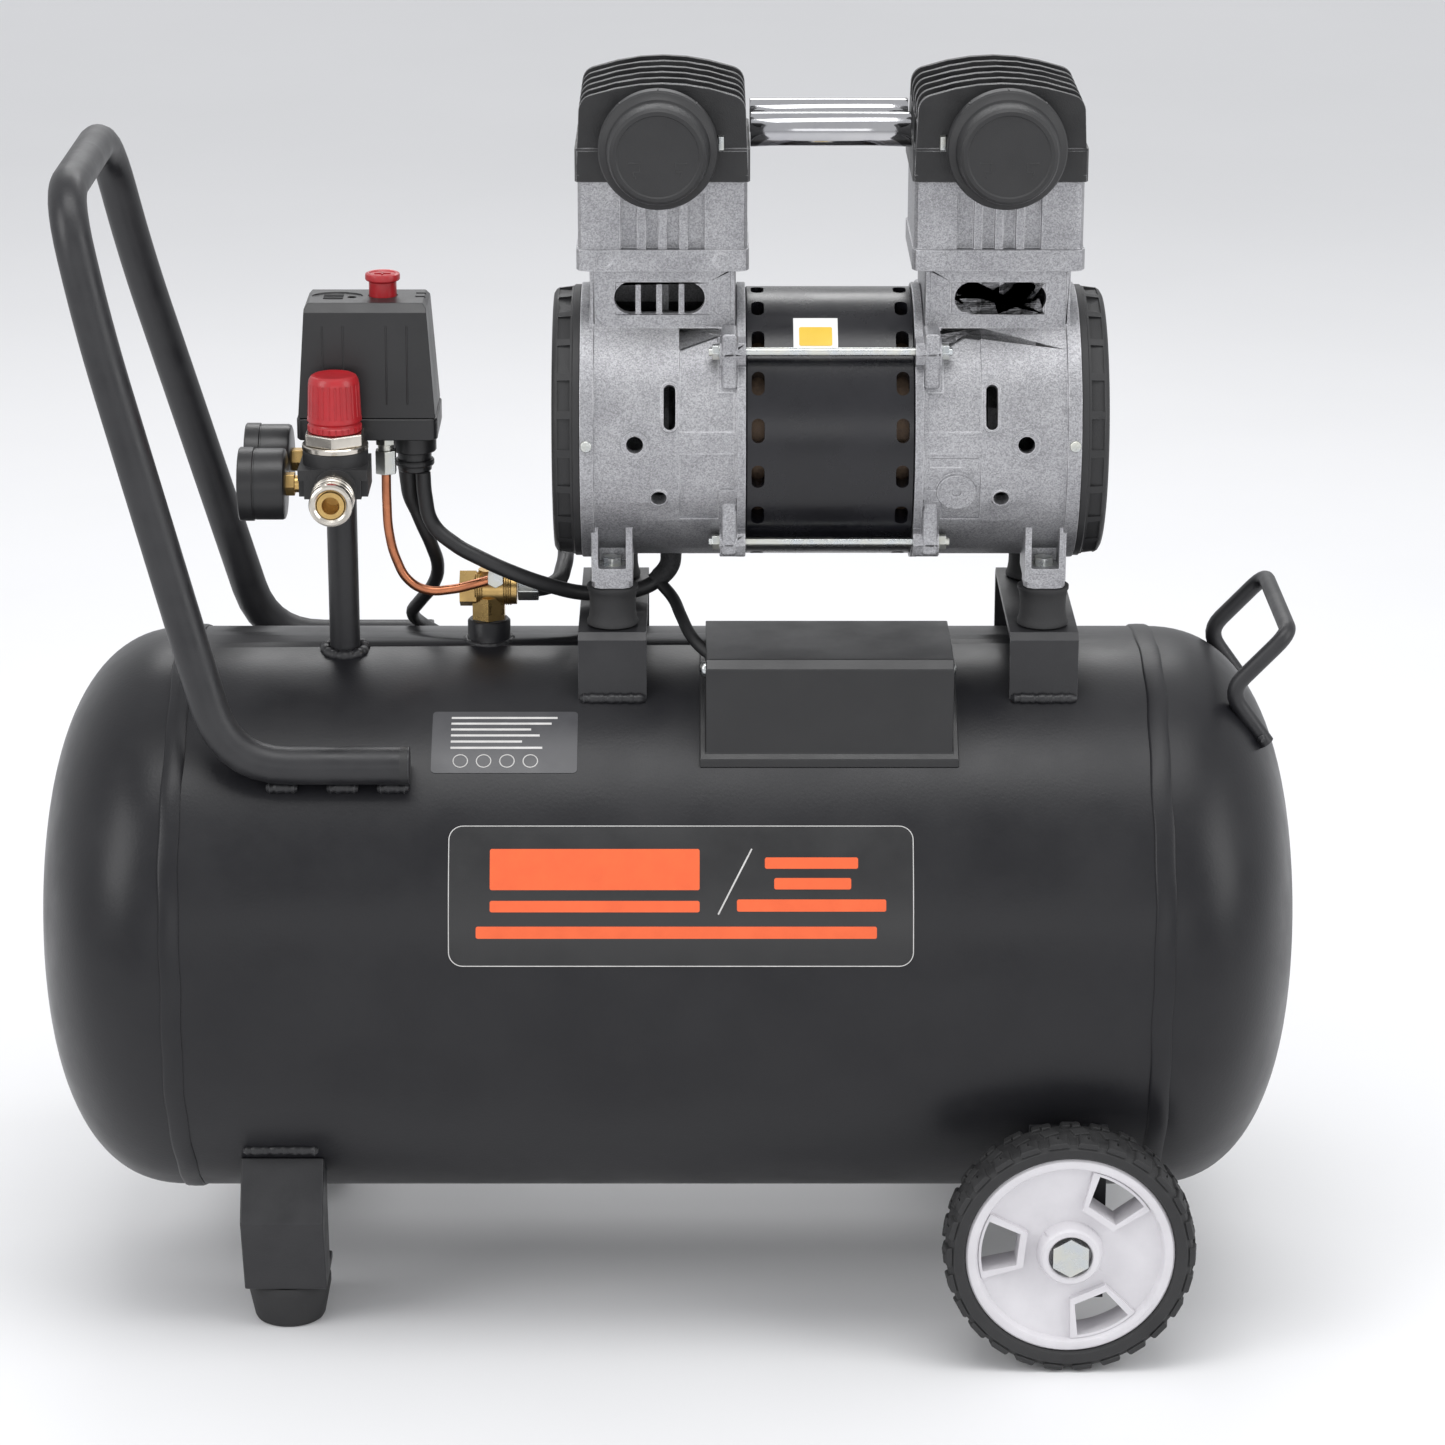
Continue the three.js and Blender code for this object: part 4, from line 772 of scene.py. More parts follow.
def badgeOutline(inset, count=8):
    x0, x1 = badge["x"][0] + inset, badge["x"][1] - inset
    perDegree = math.radians(1) * tank["radius"]
    low, high = badge["angles"][0] + inset / perDegree, badge["angles"][1] - inset / perDegree
    c = badge["corner"] - inset
    loop = []
    for cx, ca, start in ((x1 - c, high - c / perDegree, 0), (x0 + c, high - c / perDegree, 90),
        (x0 + c, low + c / perDegree, 180), (x1 - c, low + c / perDegree, 270)):
        for i in range(count + 1):
            t = math.radians(start + 90 * i / count)
            loop.append(onTank(cx + c * math.cos(t), ca + c * math.sin(t) / perDegree))
    dense = []
    for before, after in zip(loop, [*loop[1:], loop[0]]):
        pieces = max(1, int((after - before).length / 0.008))
        for i in range(pieces):
            mid = before.lerp(after, i / pieces)
            if pieces > 1:
                a = math.atan2(mid.z - axisZ, -mid.y)
                mid = onTank(mid.x, math.degrees(a))
            dense.append(mid)
    return [*dense, dense[0]]


outlineTube = tubePiece(badgeOutline(0.0004), 0.00028, sides=1, resolution=1, handle="VECTOR")
dress(outlineTube, "tankBadgeOutline", "badgeLine")
width = badge["x"][1] - badge["x"][0]
bars = [(0.09, 0.54, 0.54, 0.83), (0.09, 0.54, 0.385, 0.465), (0.68, 0.88, 0.69, 0.77),
    (0.70, 0.865, 0.545, 0.625),
        (0.62, 0.94, 0.39, 0.475), (0.06, 0.92, 0.20, 0.285)]
rise = badge["angles"][1] - badge["angles"][0]
barPieces = [wrapPatch(badge["x"][0] + u0 * width, badge["x"][0] + u1 * width,
    badge["angles"][0] + v0 * rise, badge["angles"][0] + v1 * rise,
                       tank["radius"] + 0.0003, axisZ, corner=0.0012, thickness=0.00015, cuts=5)
              for u0, u1, v0, v1 in bars]
dress(joined(barPieces), "tankBadgeBars", "badgeOrange")
strokeLow = onTank(badge["x"][0] + 0.58 * width, badge["angles"][0] + 0.37 * rise)
strokeHigh = onTank(badge["x"][0] + 0.652 * width, badge["angles"][0] + 0.83 * rise)
stroke = tubePiece([onTank(strokeLow.x + (strokeHigh.x - strokeLow.x) * i / 8,
    badge["angles"][0] + (0.37 + 0.46 * i / 8) * rise) for i in range(9)],
                   0.0005, sides=1, resolution=2)
dress(stroke, "tankBadgeStroke", "badgeLine")

spec = dict(left=-0.1365, width=0.0845, low=47.0, rise=14.8)
specPlate = wrapPatch(spec["left"], -0.052, spec["low"], 61.8, tank["radius"] + 0.0001, axisZ,
    corner=0.0025, thickness=0.0002, cuts=8)
dress(specPlate, "specPlate", "plateGrey")
specRows = [(0.13, 0.86, 0.9), (0.13, 0.82, 0.8), (0.13, 0.68, 0.7), (0.13, 0.74, 0.6), (0.13, 0.62, 0.5),
    (0.13, 0.76, 0.4)]
rowPieces = []
for u0, u1, v in specRows:
    low = spec["low"] + (v - 0.03) * spec["rise"]
    rowPieces.append(wrapPatch(spec["left"] + u0 * spec["width"], spec["left"] + u1 * spec["width"], low,
        low + 0.5, tank["radius"] + 0.0003, axisZ, cuts=2, thickness=0.0001))
for i in range(4):
    x = spec["left"] + (0.2 + 0.16 * i) * spec["width"]
    ring = [onTank(x + 0.0042 * math.cos(t * math.tau / 20),
        spec["low"] + 0.18 * spec["rise"] + math.degrees(0.0042 * math.sin(t * math.tau / 20) / tank["radius"]))
            for t in range(21)]
    rowPieces.append(tubePiece(ring, 0.00035, sides=1, resolution=1, handle="VECTOR"))
dress(joined(rowPieces), "specPlateMarks", "badgeLine")
print("tank and badges made")

# ---- weld beads on the tank ----
weldLines = {}
for name, x in (("Left", -0.032), ("Right", 0.220)):
    for end, side in (("Front", -1), ("Rear", 1)):
        a = math.acos(0.0715 / 0.1708)
        y, z = side * 0.0715, axisZ + 0.1708 * math.sin(a)
        weldLines[f"saddle{name}{end}"] = ([(x - 0.019, y, z), (x, y * 1.004, z), (x + 0.0195, y, z)],
            0.0031, 18)
ring = []
for i in range(25):
    t = i / 24 * math.tau
    y = -0.018 + 0.0115 * math.sin(t)
    ring.append((-0.192 + 0.0115 * math.cos(t), y, axisZ + math.sqrt(0.1702 ** 2 - y * y)))
weldLines["outletPost"] = (ring, 0.0034, 40)
ring = []
for i in range(25):
    t = i / 24 * math.tau
    y = 0.0138 * math.sin(t)
    ring.append((-0.107 + 0.0138 * math.cos(t), y, axisZ + math.sqrt(0.1698 ** 2 - y * y)))
weldLines["tankPort"] = (ring, 0.0018, 40)
for end, side in (("Front", -1), ("Rear", 1)):
    for k, x in enumerate((-0.158, -0.187, -0.222)):
        z = axisZ + 0.118
        y = side * math.sqrt(0.1712 ** 2 - 0.118 ** 2)
        weldLines[f"handle{end}{k}"] = ([(x - 0.009, y, z), (x, y, z + 0.0006), (x + 0.009, y, z)], 0.0032,
            9)
    y = side * math.sqrt(0.1705 ** 2 - 0.104 ** 2)
    weldLines[f"footTop{end}"] = ([(-0.250, y, axisZ - 0.104), (-0.228, y * 1.003, axisZ - 0.1035),
        (-0.206, y, axisZ - 0.104)], 0.003, 20)
beads = [weldBead(line, radius, ripples) for line, radius, ripples in weldLines.values()]
dress(joined(beads), "weldBeads", "bracketPaint")
print("welds made")

# ---- pumps: crankcases, fan covers, cylinders, heads and filter caps ----
pumpX = 0.09625  # middle of a cylinder, from the middle of the motor
pumpLook = dict(
    windowLow=0.0742, windowHigh=0.0922, windowFrom=0.072, windowTo=0.1242, windowBars=((0.0838, 0.0872),
    (0.0966, 0.1), (0.1088, 0.112)),
    slotX=0.0923, slotAngle=19.6, bossX=0.1123, bossAngle=4.0, holeX=0.0986, holeAngle=-20.2,
    panelFrom=0.0552, panelTo=0.0864, panelFloor=0.0776)


bossX, bossZ = 0.0985, 0.1737  # middle of the air filter on a head


def atPump(side, x, y, z):
    return Vector((shaft.x + side * x, shaft.y + y, shaft.z + z))


def pumpBlock(side, x0, x1, y0, y1, z0, z1):
    xs = sorted((shaft.x + side * x0, shaft.x + side * x1))
    return addBlock((xs[0], y0, shaft.z + z0), (xs[1], y1, shaft.z + z1))


def pumpRing(side, outline, steps=96):
    return turnedPiece([(r, side * a) for r, a in outline], "x", shaft, steps)


# A short round or long piece standing on the barrel, at an angle above the front.
def onBarrel(side, x, angle, radius, low, high, halfLength=None, sides=32):
    a = math.radians(angle)
    reach = (low + high) / 2
    centre = atPump(side, x, -reach * math.cos(a), reach * math.sin(a))
    if halfLength:
        return addSlot(centre, radius, halfLength, high - low, (math.pi / 2 - a, 0, 0))
    bpy.ops.mesh.primitive_cylinder_add(vertices=sides, radius=radius, depth=high - low, location=centre,
        rotation=(math.pi / 2 - a, 0, 0))
    piece = bpy.context.active_object
    settle(piece)
    return piece


def makeCrankcase(end, side):
    case = cadCopy(f"crankcase_{end}")
    k = pumpLook
    added = []
    for y in (-1, 1):
        y0, y1 = sorted((y * 0.0435, y * 0.0376))
        added.append(pumpBlock(side, 0.0695, 0.1236, y0, y1, 0.0735, 0.0926))
        for z0, z1 in ((0.036, 0.069), (-0.063, -0.024)):
            y0, y1 = sorted((y * 0.0725, y * 0.048))
            lug = pumpBlock(side, 0.0533, 0.0627, y0, y1, z0, z1)
            roundEdges(lug, 0.0025, 3)
            added.append(lug)
        y0, y1 = sorted((y * 0.0443, y * 0.03))
        for x0, x1 in ((0.0548, 0.0574), (0.1356, 0.138)):
            added.append(pumpBlock(side, x0, x1, y0, y1, 0.06, 0.0992))
    added.append(onBarrel(side, k["slotX"], k["slotAngle"], 0.0049, 0.07, 0.0796, halfLength=0.0146))
    added.append(onBarrel(side, k["bossX"], k["bossAngle"], 0.008, 0.07, 0.0802))
    added.append(onBarrel(side, k["holeX"], k["holeAngle"], 0.0057, 0.07, 0.0796))
    if side > 0:
        added.append(onBarrel(side, 0.0727, -17.2, 0.0114, 0.07, 0.0798, sides=48))
    panel = pumpRing(side, [(k["panelFloor"], k["panelFrom"]), (0.09, k["panelFrom"]), (0.09, k["panelTo"]),
        (k["panelFloor"], k["panelTo"]), (k["panelFloor"], k["panelFrom"])])
    keep = [pumpBlock(side, 0.05, 0.09, -0.1, 0.1, z0, z1)
        for z0, z1 in ((0.0655, 0.1), (0.0, 0.0127), (-0.1, -0.0415))]
    keep += [pumpBlock(side, 0.05, 0.0645, -0.1, 0.1, z0, z1)
        for z0, z1 in ((0.034, 0.07), (-0.045, -0.022))]
    panel = combine(panel, keep)
    combine(case, [panel])
    for piece in added:
        combine(case, [piece], "UNION")
    cutters = []
    halfHigh = (k["windowHigh"] - k["windowLow"]) / 2
    middleZ = shaft.z + (k["windowHigh"] + k["windowLow"]) / 2
    edges = [k["windowFrom"], *[x for bar in k["windowBars"] for x in bar], k["windowTo"]]
    for x0, x1 in zip(edges[::2], edges[1::2]):
        # The first and the last opening of the row have a round outer end.
        outline = [(x0, halfHigh), (x0, -halfHigh)]
        if x0 == k["windowFrom"]:
            outline = [(x0 + halfHigh * (1 - math.sin(math.pi * i / 10)),
                halfHigh * math.cos(math.pi * i / 10)) for i in range(11)]
        if x1 == k["windowTo"]:
            outline += [(x1 - halfHigh * (1 - math.sin(math.pi * i / 10)),
                -halfHigh * math.cos(math.pi * i / 10)) for i in range(11)]
        else:
            outline += [(x1, -halfHigh), (x1, halfHigh)]
        for y in (-1, 1):
            shape = [(shaft.x + side * x, middleZ + z) for x, z in outline]
            cutters.append(prismPiece(shape, "y", *sorted((y * 0.035, y * 0.047))))
    cutters.append(onBarrel(side, k["slotX"], k["slotAngle"], 0.0034, 0.06, 0.085, halfLength=0.0129))
    cutters.append(onBarrel(side, k["bossX"], k["bossAngle"], 0.0048, 0.06, 0.085))
    cutters.append(onBarrel(side, k["holeX"], k["holeAngle"], 0.0044, 0.06, 0.085))
    if side > 0:
        cutters.append(onBarrel(side, 0.0727, -17.2, 0.0026, 0.0785, 0.085))
        cutters.append(pumpBlock(side, 0.057, 0.085, -0.1, -0.0768, -0.0085, -0.003))
    for cutter in cutters:
        combine(case, [cutter])
    roundEdges(case, 0.0005, 2, angle=30, clamp=False)
    dress(case, f"crankcase{end.capitalize()}", "castSilver", replaced=(f"crankcase_{end}",))
    screws = []
    for angle in (3.5, 123.5, 243.5):
        head = onBarrel(side, 0.1402, angle, 0.0033, 0.0795, 0.0823, sides=24)
        roundEdges(head, 0.0008, 3)
        for turn in (0, 1):
            cross = onBarrel(side, 0.1402, angle, 0.0006, 0.0815, 0.084, halfLength=0.0019, sides=8)
            if turn:
                a = math.radians(angle)
                axis = Vector((0, -math.cos(a), math.sin(a)))
                at = atPump(side, 0.1402, 0, 0)
                cross.matrix_world = Matrix.Translation(at) @ Matrix.Rotation(math.pi / 2, 4,
                    axis) @ Matrix.Translation(-at)
                settle(cross)
            combine(head, [cross])
        screws.append(head)
    dress(joined(screws), f"coverScrews{end.capitalize()}", "brightZinc")


def makeFanCover(end, side):
    inner, outer = 0.1443, 0.1603
    outline = [(0.075, inner), (0.0797, inner), (0.0797, inner + 0.0035), (0.0789, inner + 0.0042),
        (0.0778, outer - 0.003), (0.0768, outer - 0.0014),
               (0.0748, outer - 0.0002), (0.067, outer), (0.067, outer - 0.003), (0.075,
               outer - 0.003), (0.075, inner)]
    cover = pumpRing(side, outline, 110)
    pocket = pumpBlock(side, inner + 0.0052, outer - 0.0034, -0.009, 0.009, 0.0765, 0.09)
    ringCopies(pocket, "x", shaft, 22)
    combine(cover, [pocket])
    bars = [pumpRing(side, [(r - 0.0013, outer - 0.0026), (r + 0.0013, outer - 0.0026),
        (r + 0.0013, outer - 0.0002), (r - 0.0013, outer - 0.0002), (r - 0.0013, outer - 0.0026)], 80)
            for r in (0.0275, 0.0355, 0.0435, 0.0515, 0.0595)]
    hubDisc = pumpRing(side, [(0.0, outer - 0.003), (0.0225, outer - 0.003), (0.0225, outer - 0.0006),
        (0.0215, outer), (0.0, outer)], 64)
    spoke = pumpBlock(side, outer - 0.003, outer - 0.0001, -0.0024, 0.0024, 0.02, 0.068)
    ringCopies(spoke, "x", shaft, 8)
    for piece in (*bars, hubDisc, spoke):
        combine(cover, [piece], "UNION")
    roundEdges(cover, 0.0004, 2)
    dress(cover, f"fanCover{end.capitalize()}", "matBlackPlastic", replaced=(f"fan_cover_{end}",))


def makeCylinder(end, side):
    barrel = cadCopy(f"cylinder_{end}")
    marks = []
    for x in (-0.0335, 0.0335):
        for y in (-1, 1):
            bpy.ops.mesh.primitive_torus_add(major_radius=0.0042, minor_radius=0.00045, major_segments=32,
                minor_segments=8,
                                             location=atPump(side, pumpX + x, y * 0.048,
                                             0.1062), rotation=(math.pi / 2, 0, 0))
            mark = bpy.context.active_object
            settle(mark)
            marks.append(mark)
    roundEdges(barrel, 0.0008, 2)
    smoothShade(marks[0])
    dress(joined([barrel, *marks]), f"cylinder{end.capitalize()}", "castSilver",
        replaced=(f"cylinder_{end}",))


def makeHead(end, side):
    head = cadCopy(f"cylinder_head_{end}")
    collar = addRod("y", -0.0563, -0.046, 0.0205, atPump(side, bossX, 0, bossZ), 48)
    lip = pumpBlock(side, 0.0478, 0.1453, -0.0488, 0.0488, 0.1696, 0.1712)
    for piece in (collar, lip):
        combine(head, [piece], "UNION")
    roundEdges(head, 0.0006, 2)
    dress(head, f"cylinderHead{end.capitalize()}", "blackCasting", replaced=(f"cylinder_head_{end}",))
    clip = pumpBlock(side, 0.0612, 0.0646, -0.0545, -0.0478, 0.1712, 0.179)
    roundEdges(clip, 0.0005, 2)
    dress(clip, f"capClip{end.capitalize()}", "brightZinc")
    studs = []
    for x in (-0.036, 0.036):
        for y in (-0.0335, 0.0335):
            stud = addRod("z", shaft.z + 0.189, shaft.z + 0.1945, 0.0046, atPump(side, pumpX + x, y, 0), 32)
            roundEdges(stud, 0.0006, 2)
            socket = addRod("z", shaft.z + 0.1915, shaft.z + 0.197, 0.0025, atPump(side, pumpX + x, y, 0),
                6)
            combine(stud, [socket])
            studs.append(stud)
    dress(joined(studs), f"headScrews{end.capitalize()}", "darkSteel")


def makeFilterCap(end, side):
    back = -0.0563
    outline = [(0.0, back), (0.0318, back), (0.0334, back - 0.0012), (0.034, back - 0.003),
        (0.034, back - 0.0112), (0.0331, back - 0.0128), (0.0312, back - 0.0138),
               (0.0296, back - 0.0152), (0.0288, back - 0.018), (0.0281, back - 0.0268), (0.0272,
               back - 0.0292), (0.0256, back - 0.0306),
               (0.0236, back - 0.0308), (0.0228, back - 0.0302), (0.0, back - 0.0302)]
    cap = turnedPiece(outline, "y", atPump(side, bossX, 0, bossZ), 96, closed=False)
    smoothShade(cap, 28)
    marks = []
    for turn in (1, -1):
        points = [(turn * 0.0165, -0.0035), (turn * 0.0102, -0.0035), (turn * 0.0102, -0.0085),
            (turn * 0.0138, -0.0085), (turn * 0.0125, -0.0125)]
        line = [atPump(side, bossX, back - 0.0302, bossZ) + Vector((x, 0, z)) for x, z in points]
        marks.append(tubePiece(line, 0.00035, sides=2, resolution=1, handle="VECTOR"))
    for i in range(3):
        a = math.radians(50 + 40 * i)
        grip = atPump(side, bossX, back - 0.0075, bossZ) + Vector((0.0338 * math.cos(a), 0,
            0.0338 * math.sin(a)))
        marks.append(tubePiece([grip - Vector((0, 0.003, 0)), grip, grip + Vector((0, 0.003, 0))], 0.0006,
            sides=3, resolution=2))
    dress(joined([cap, *marks]), f"filterCap{end.capitalize()}", "matBlackPlastic",
        body=bodyOf(f"filter_cap_{end}"),
          replaced=(f"filter_cap_{end}",))


for end, side in (("left", -1), ("right", 1)):
    makeCrankcase(end, side)
    makeFanCover(end, side)
    makeCylinder(end, side)
    makeHead(end, side)
    makeFilterCap(end, side)
    print("pump made:", end)

# ---- motor shell with its rows of air slots ----
motor = dict(radius=0.0785, half=0.0482, slotX=0.0415, slotAngles=9.8, slotCount=18, slotHalf=0.0038,
    slotLength=0.0071)
shell = turnedPiece([(0.0500, -motor["half"]), (motor["radius"] - 0.0006, -motor["half"]),
    (motor["radius"], -motor["half"] + 0.0006),
                     (motor["radius"], -0.047), (motor["radius"], -0.0355), (motor["radius"],
                     -0.012), (motor["radius"], 0.012), (motor["radius"], 0.0355), (motor["radius"],
                     0.047), (motor["radius"], motor["half"] - 0.0006),
                     (motor["radius"] - 0.0006, motor["half"]), (0.05, motor["half"]), (0.05,
                     -motor["half"])], "x", shaft, 120)
shell.data.materials.append(materials["motorGloss"])
for side in (-1, 1):
    slot = onBarrel(side, motor["slotX"], motor["slotAngles"], motor["slotHalf"], 0.0665, 0.085,
        halfLength=motor["slotLength"], sides=24)
    ringCopies(slot, "x", shaft, motor["slotCount"])
    combine(shell, [slot])
roundEdges(shell, 0.0004, 2)
dress(shell, "motorShell", "motorGloss", replaced=("motor_shell",))
# The windings show at the bottom of the air slots; their dark colour is painted shade inside the motor.
windings = []
for side in (-1, 1):
    winding = pumpRing(side, [(0.06, 0.0365), (0.0672, 0.0365), (0.0672, 0.0465), (0.06, 0.0465),
        (0.06, 0.0365)], 72)
    windings.append(winding)
smoothShade(windings[0])
dress(joined(windings), "motorWindings", "windingPaintedShade")
sticker = wrapPatch(0.0729, 0.0985, 42.0, 62.5, motor["radius"] + 0.0001, shaft.z, thickness=0.00015,
    cuts=6)
dress(sticker, "motorSticker", "dialWhite")
mark = wrapPatch(0.0762, 0.0952, 47.0, 57.0, motor["radius"] + 0.0003, shaft.z, corner=0.0012,
    thickness=0.0001, cuts=4)
dress(mark, "motorStickerMark", "stickerYellow")
print("motor made")

# ---- cross tubes and tie rods ----
for end in ("front", "rear"):
    low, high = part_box(f"cross_tube_{end}")
    middle = (low + high) / 2
    r = 0.01
    tube = turnedPiece([(r - 0.0015, low.x - middle.x), (r - 0.0003, low.x - middle.x),
        (r, low.x - middle.x + 0.0004), (r, high.x - middle.x - 0.0004),
                        (r - 0.0003, high.x - middle.x), (r - 0.0015, high.x - middle.x), (r - 0.0015,
                        low.x - middle.x)], "x", middle, 64)
    smoothShade(tube, 40)
    dress(tube, f"crossTube{end.capitalize()}", "polishedChrome", replaced=(f"cross_tube_{end}",))
    for height in ("upper", "lower"):
        low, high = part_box(f"tie_rod_{end}_{height}")
        middle = (low + high) / 2
        half = (high.x - low.x) / 2
        rod = addRod("x", middle.x - half, middle.x + half, 0.0025, middle, 24)
        nuts = [rod]
        for side in (-1, 1):
            reach = 0.0638
            nut = addRod("x", *sorted((middle.x + side * reach, middle.x + side * (reach + 0.004))), 0.0048,
                middle, 6)
            roundEdges(nut, 0.0004, 2)
            washer = addRod("x", *sorted((middle.x + side * (reach - 0.0009), middle.x + side * reach)),
                0.0056, middle, 24)
            nuts += [nut, washer]
        roundEdges(rod, 0.0005, 2)
        dress(joined(nuts), f"tieRod{end.capitalize()}{height.capitalize()}", "brightZinc",
            replaced=(f"tie_rod_{end}_{height}",))

# ---- saddles, rubber mounts, capacitor box ----
for end in ("left", "right"):
    saddle = cadCopy(f"saddle_{end}")
    roundEdges(saddle, 0.0012, 3)
    dress(saddle, f"saddle{end.capitalize()}", "bracketPaint", replaced=(f"saddle_{end}",))
    for place in ("front", "rear"):
        low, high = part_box(f"isolator_{end}_{place}")
        middle = (low + high) / 2
        r, h = (high.x - low.x) / 2, high.z - low.z
        outline = [(0.0, 0.0), (r - 0.0012, 0.0), (r, 0.0008), (r, 0.0026), (r - 0.0007, 0.0036),
            (r - 0.0014, h * 0.32), (r - 0.0016, h * 0.5), (r - 0.0014, h * 0.68),
                   (r - 0.0007, h - 0.0036), (r, h - 0.0026), (r, h - 0.0008), (r - 0.0012, h), (0.0, h)]
        mount = turnedPiece(outline, "z", (middle.x, middle.y, low.z), 56, closed=False)
        smoothShade(mount, 40)
        dress(mount, f"isolator{end.capitalize()}{place.capitalize()}", "mountRubber",
            replaced=(f"isolator_{end}_{place}",))
        bolt = addRod("z", high.z + 0.0118, high.z + 0.0165, 0.0062, middle, 6)
        roundEdges(bolt, 0.0006, 2)
        washer = addRod("z", high.z + 0.0112, high.z + 0.0124, 0.0078, middle, 32)
        dress(joined([bolt, washer]), f"mountBolt{end.capitalize()}{place.capitalize()}", "brightZinc")

boxPiece = cadCopy("capacitor_box")
roundEdges(boxPiece, 0.0032, 5, angle=28)
dress(boxPiece, "capacitorBox", "satinBlackPlastic", replaced=("capacitor_box",))
boxScrews = []
for side in (-1, 1):
    face = 0.094 + side * 0.0715
    outline = [(0.0, 0.0), (0.0046, 0.0), (0.0046, 0.0011), (0.0036, 0.0026), (0.0016, 0.0033),
        (0.0, 0.0034)]
    screw = turnedPiece([(r, side * a) for r, a in outline], "x", (face, -0.07, axisZ + 0.173), 32,
        closed=False)
    smoothShade(screw, 40)
    boxScrews.append(screw)
dress(joined(boxScrews), "capacitorBoxScrews", "brightZinc")
print("mounts made")

# ---- foot brackets, bumpers, wheel brackets ----
for end in ("front", "rear"):
    bracket = cadCopy(f"foot_bracket_{end}")
    roundEdges(bracket, 0.0011, 3)
    dress(bracket, f"footBracket{end.capitalize()}", "bracketPaint", replaced=(f"foot_bracket_{end}",))
    low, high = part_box(f"rubber_foot_{end}")
    middle = (low + high) / 2
    h = high.z
    outline = [(0.0, 0.0), (0.0185, 0.0), (0.0203, 0.0006), (0.0212, 0.0024), (0.0246, h - 0.0075),
        (0.025, h - 0.0055), (0.025, h - 0.0015), (0.0242, h - 0.0004), (0.0, h)]
    foot = turnedPiece(outline, "z", (middle.x, middle.y, 0), 72, closed=False)
    smoothShade(foot, 40)
    dress(foot, f"rubberFoot{end.capitalize()}", "mountRubber", replaced=(f"rubber_foot_{end}",))
    footBolt = addRod("z", h + 0.0056, h + 0.0105, 0.0065, (middle.x, middle.y * 0.955, 0), 6)
    roundEdges(footBolt, 0.0006, 2)
    dress(footBolt, f"footBolt{end.capitalize()}", "brightZinc")
    plate = cadCopy(f"wheel_bracket_{end}")
    roundEdges(plate, 0.0009, 2)
    dress(plate, f"wheelBracket{end.capitalize()}", "bracketPaint", replaced=(f"wheel_bracket_{end}",))

# ---- wheels ----
wheel = dict(tyre=0.074, half=0.0165, blocks=26, windowInner=0.032, windowOuter=0.052, windowHalf=18,
    firstWindow=54)


def windowOutline(grow):
    inner, outer = wheel["windowInner"] - grow, wheel["windowOuter"] + grow
    extra = math.degrees(grow / 0.042)
    halfAngle = wheel["windowHalf"] + extra
    points = []
    for i in range(9):
        a = math.radians(-halfAngle + 2 * halfAngle * i / 8)
        points.append((outer * math.cos(a), outer * math.sin(a)))
    for a in (halfAngle, -halfAngle):
        points.append((inner * math.cos(math.radians(a)), inner * math.sin(math.radians(a))))
    return points


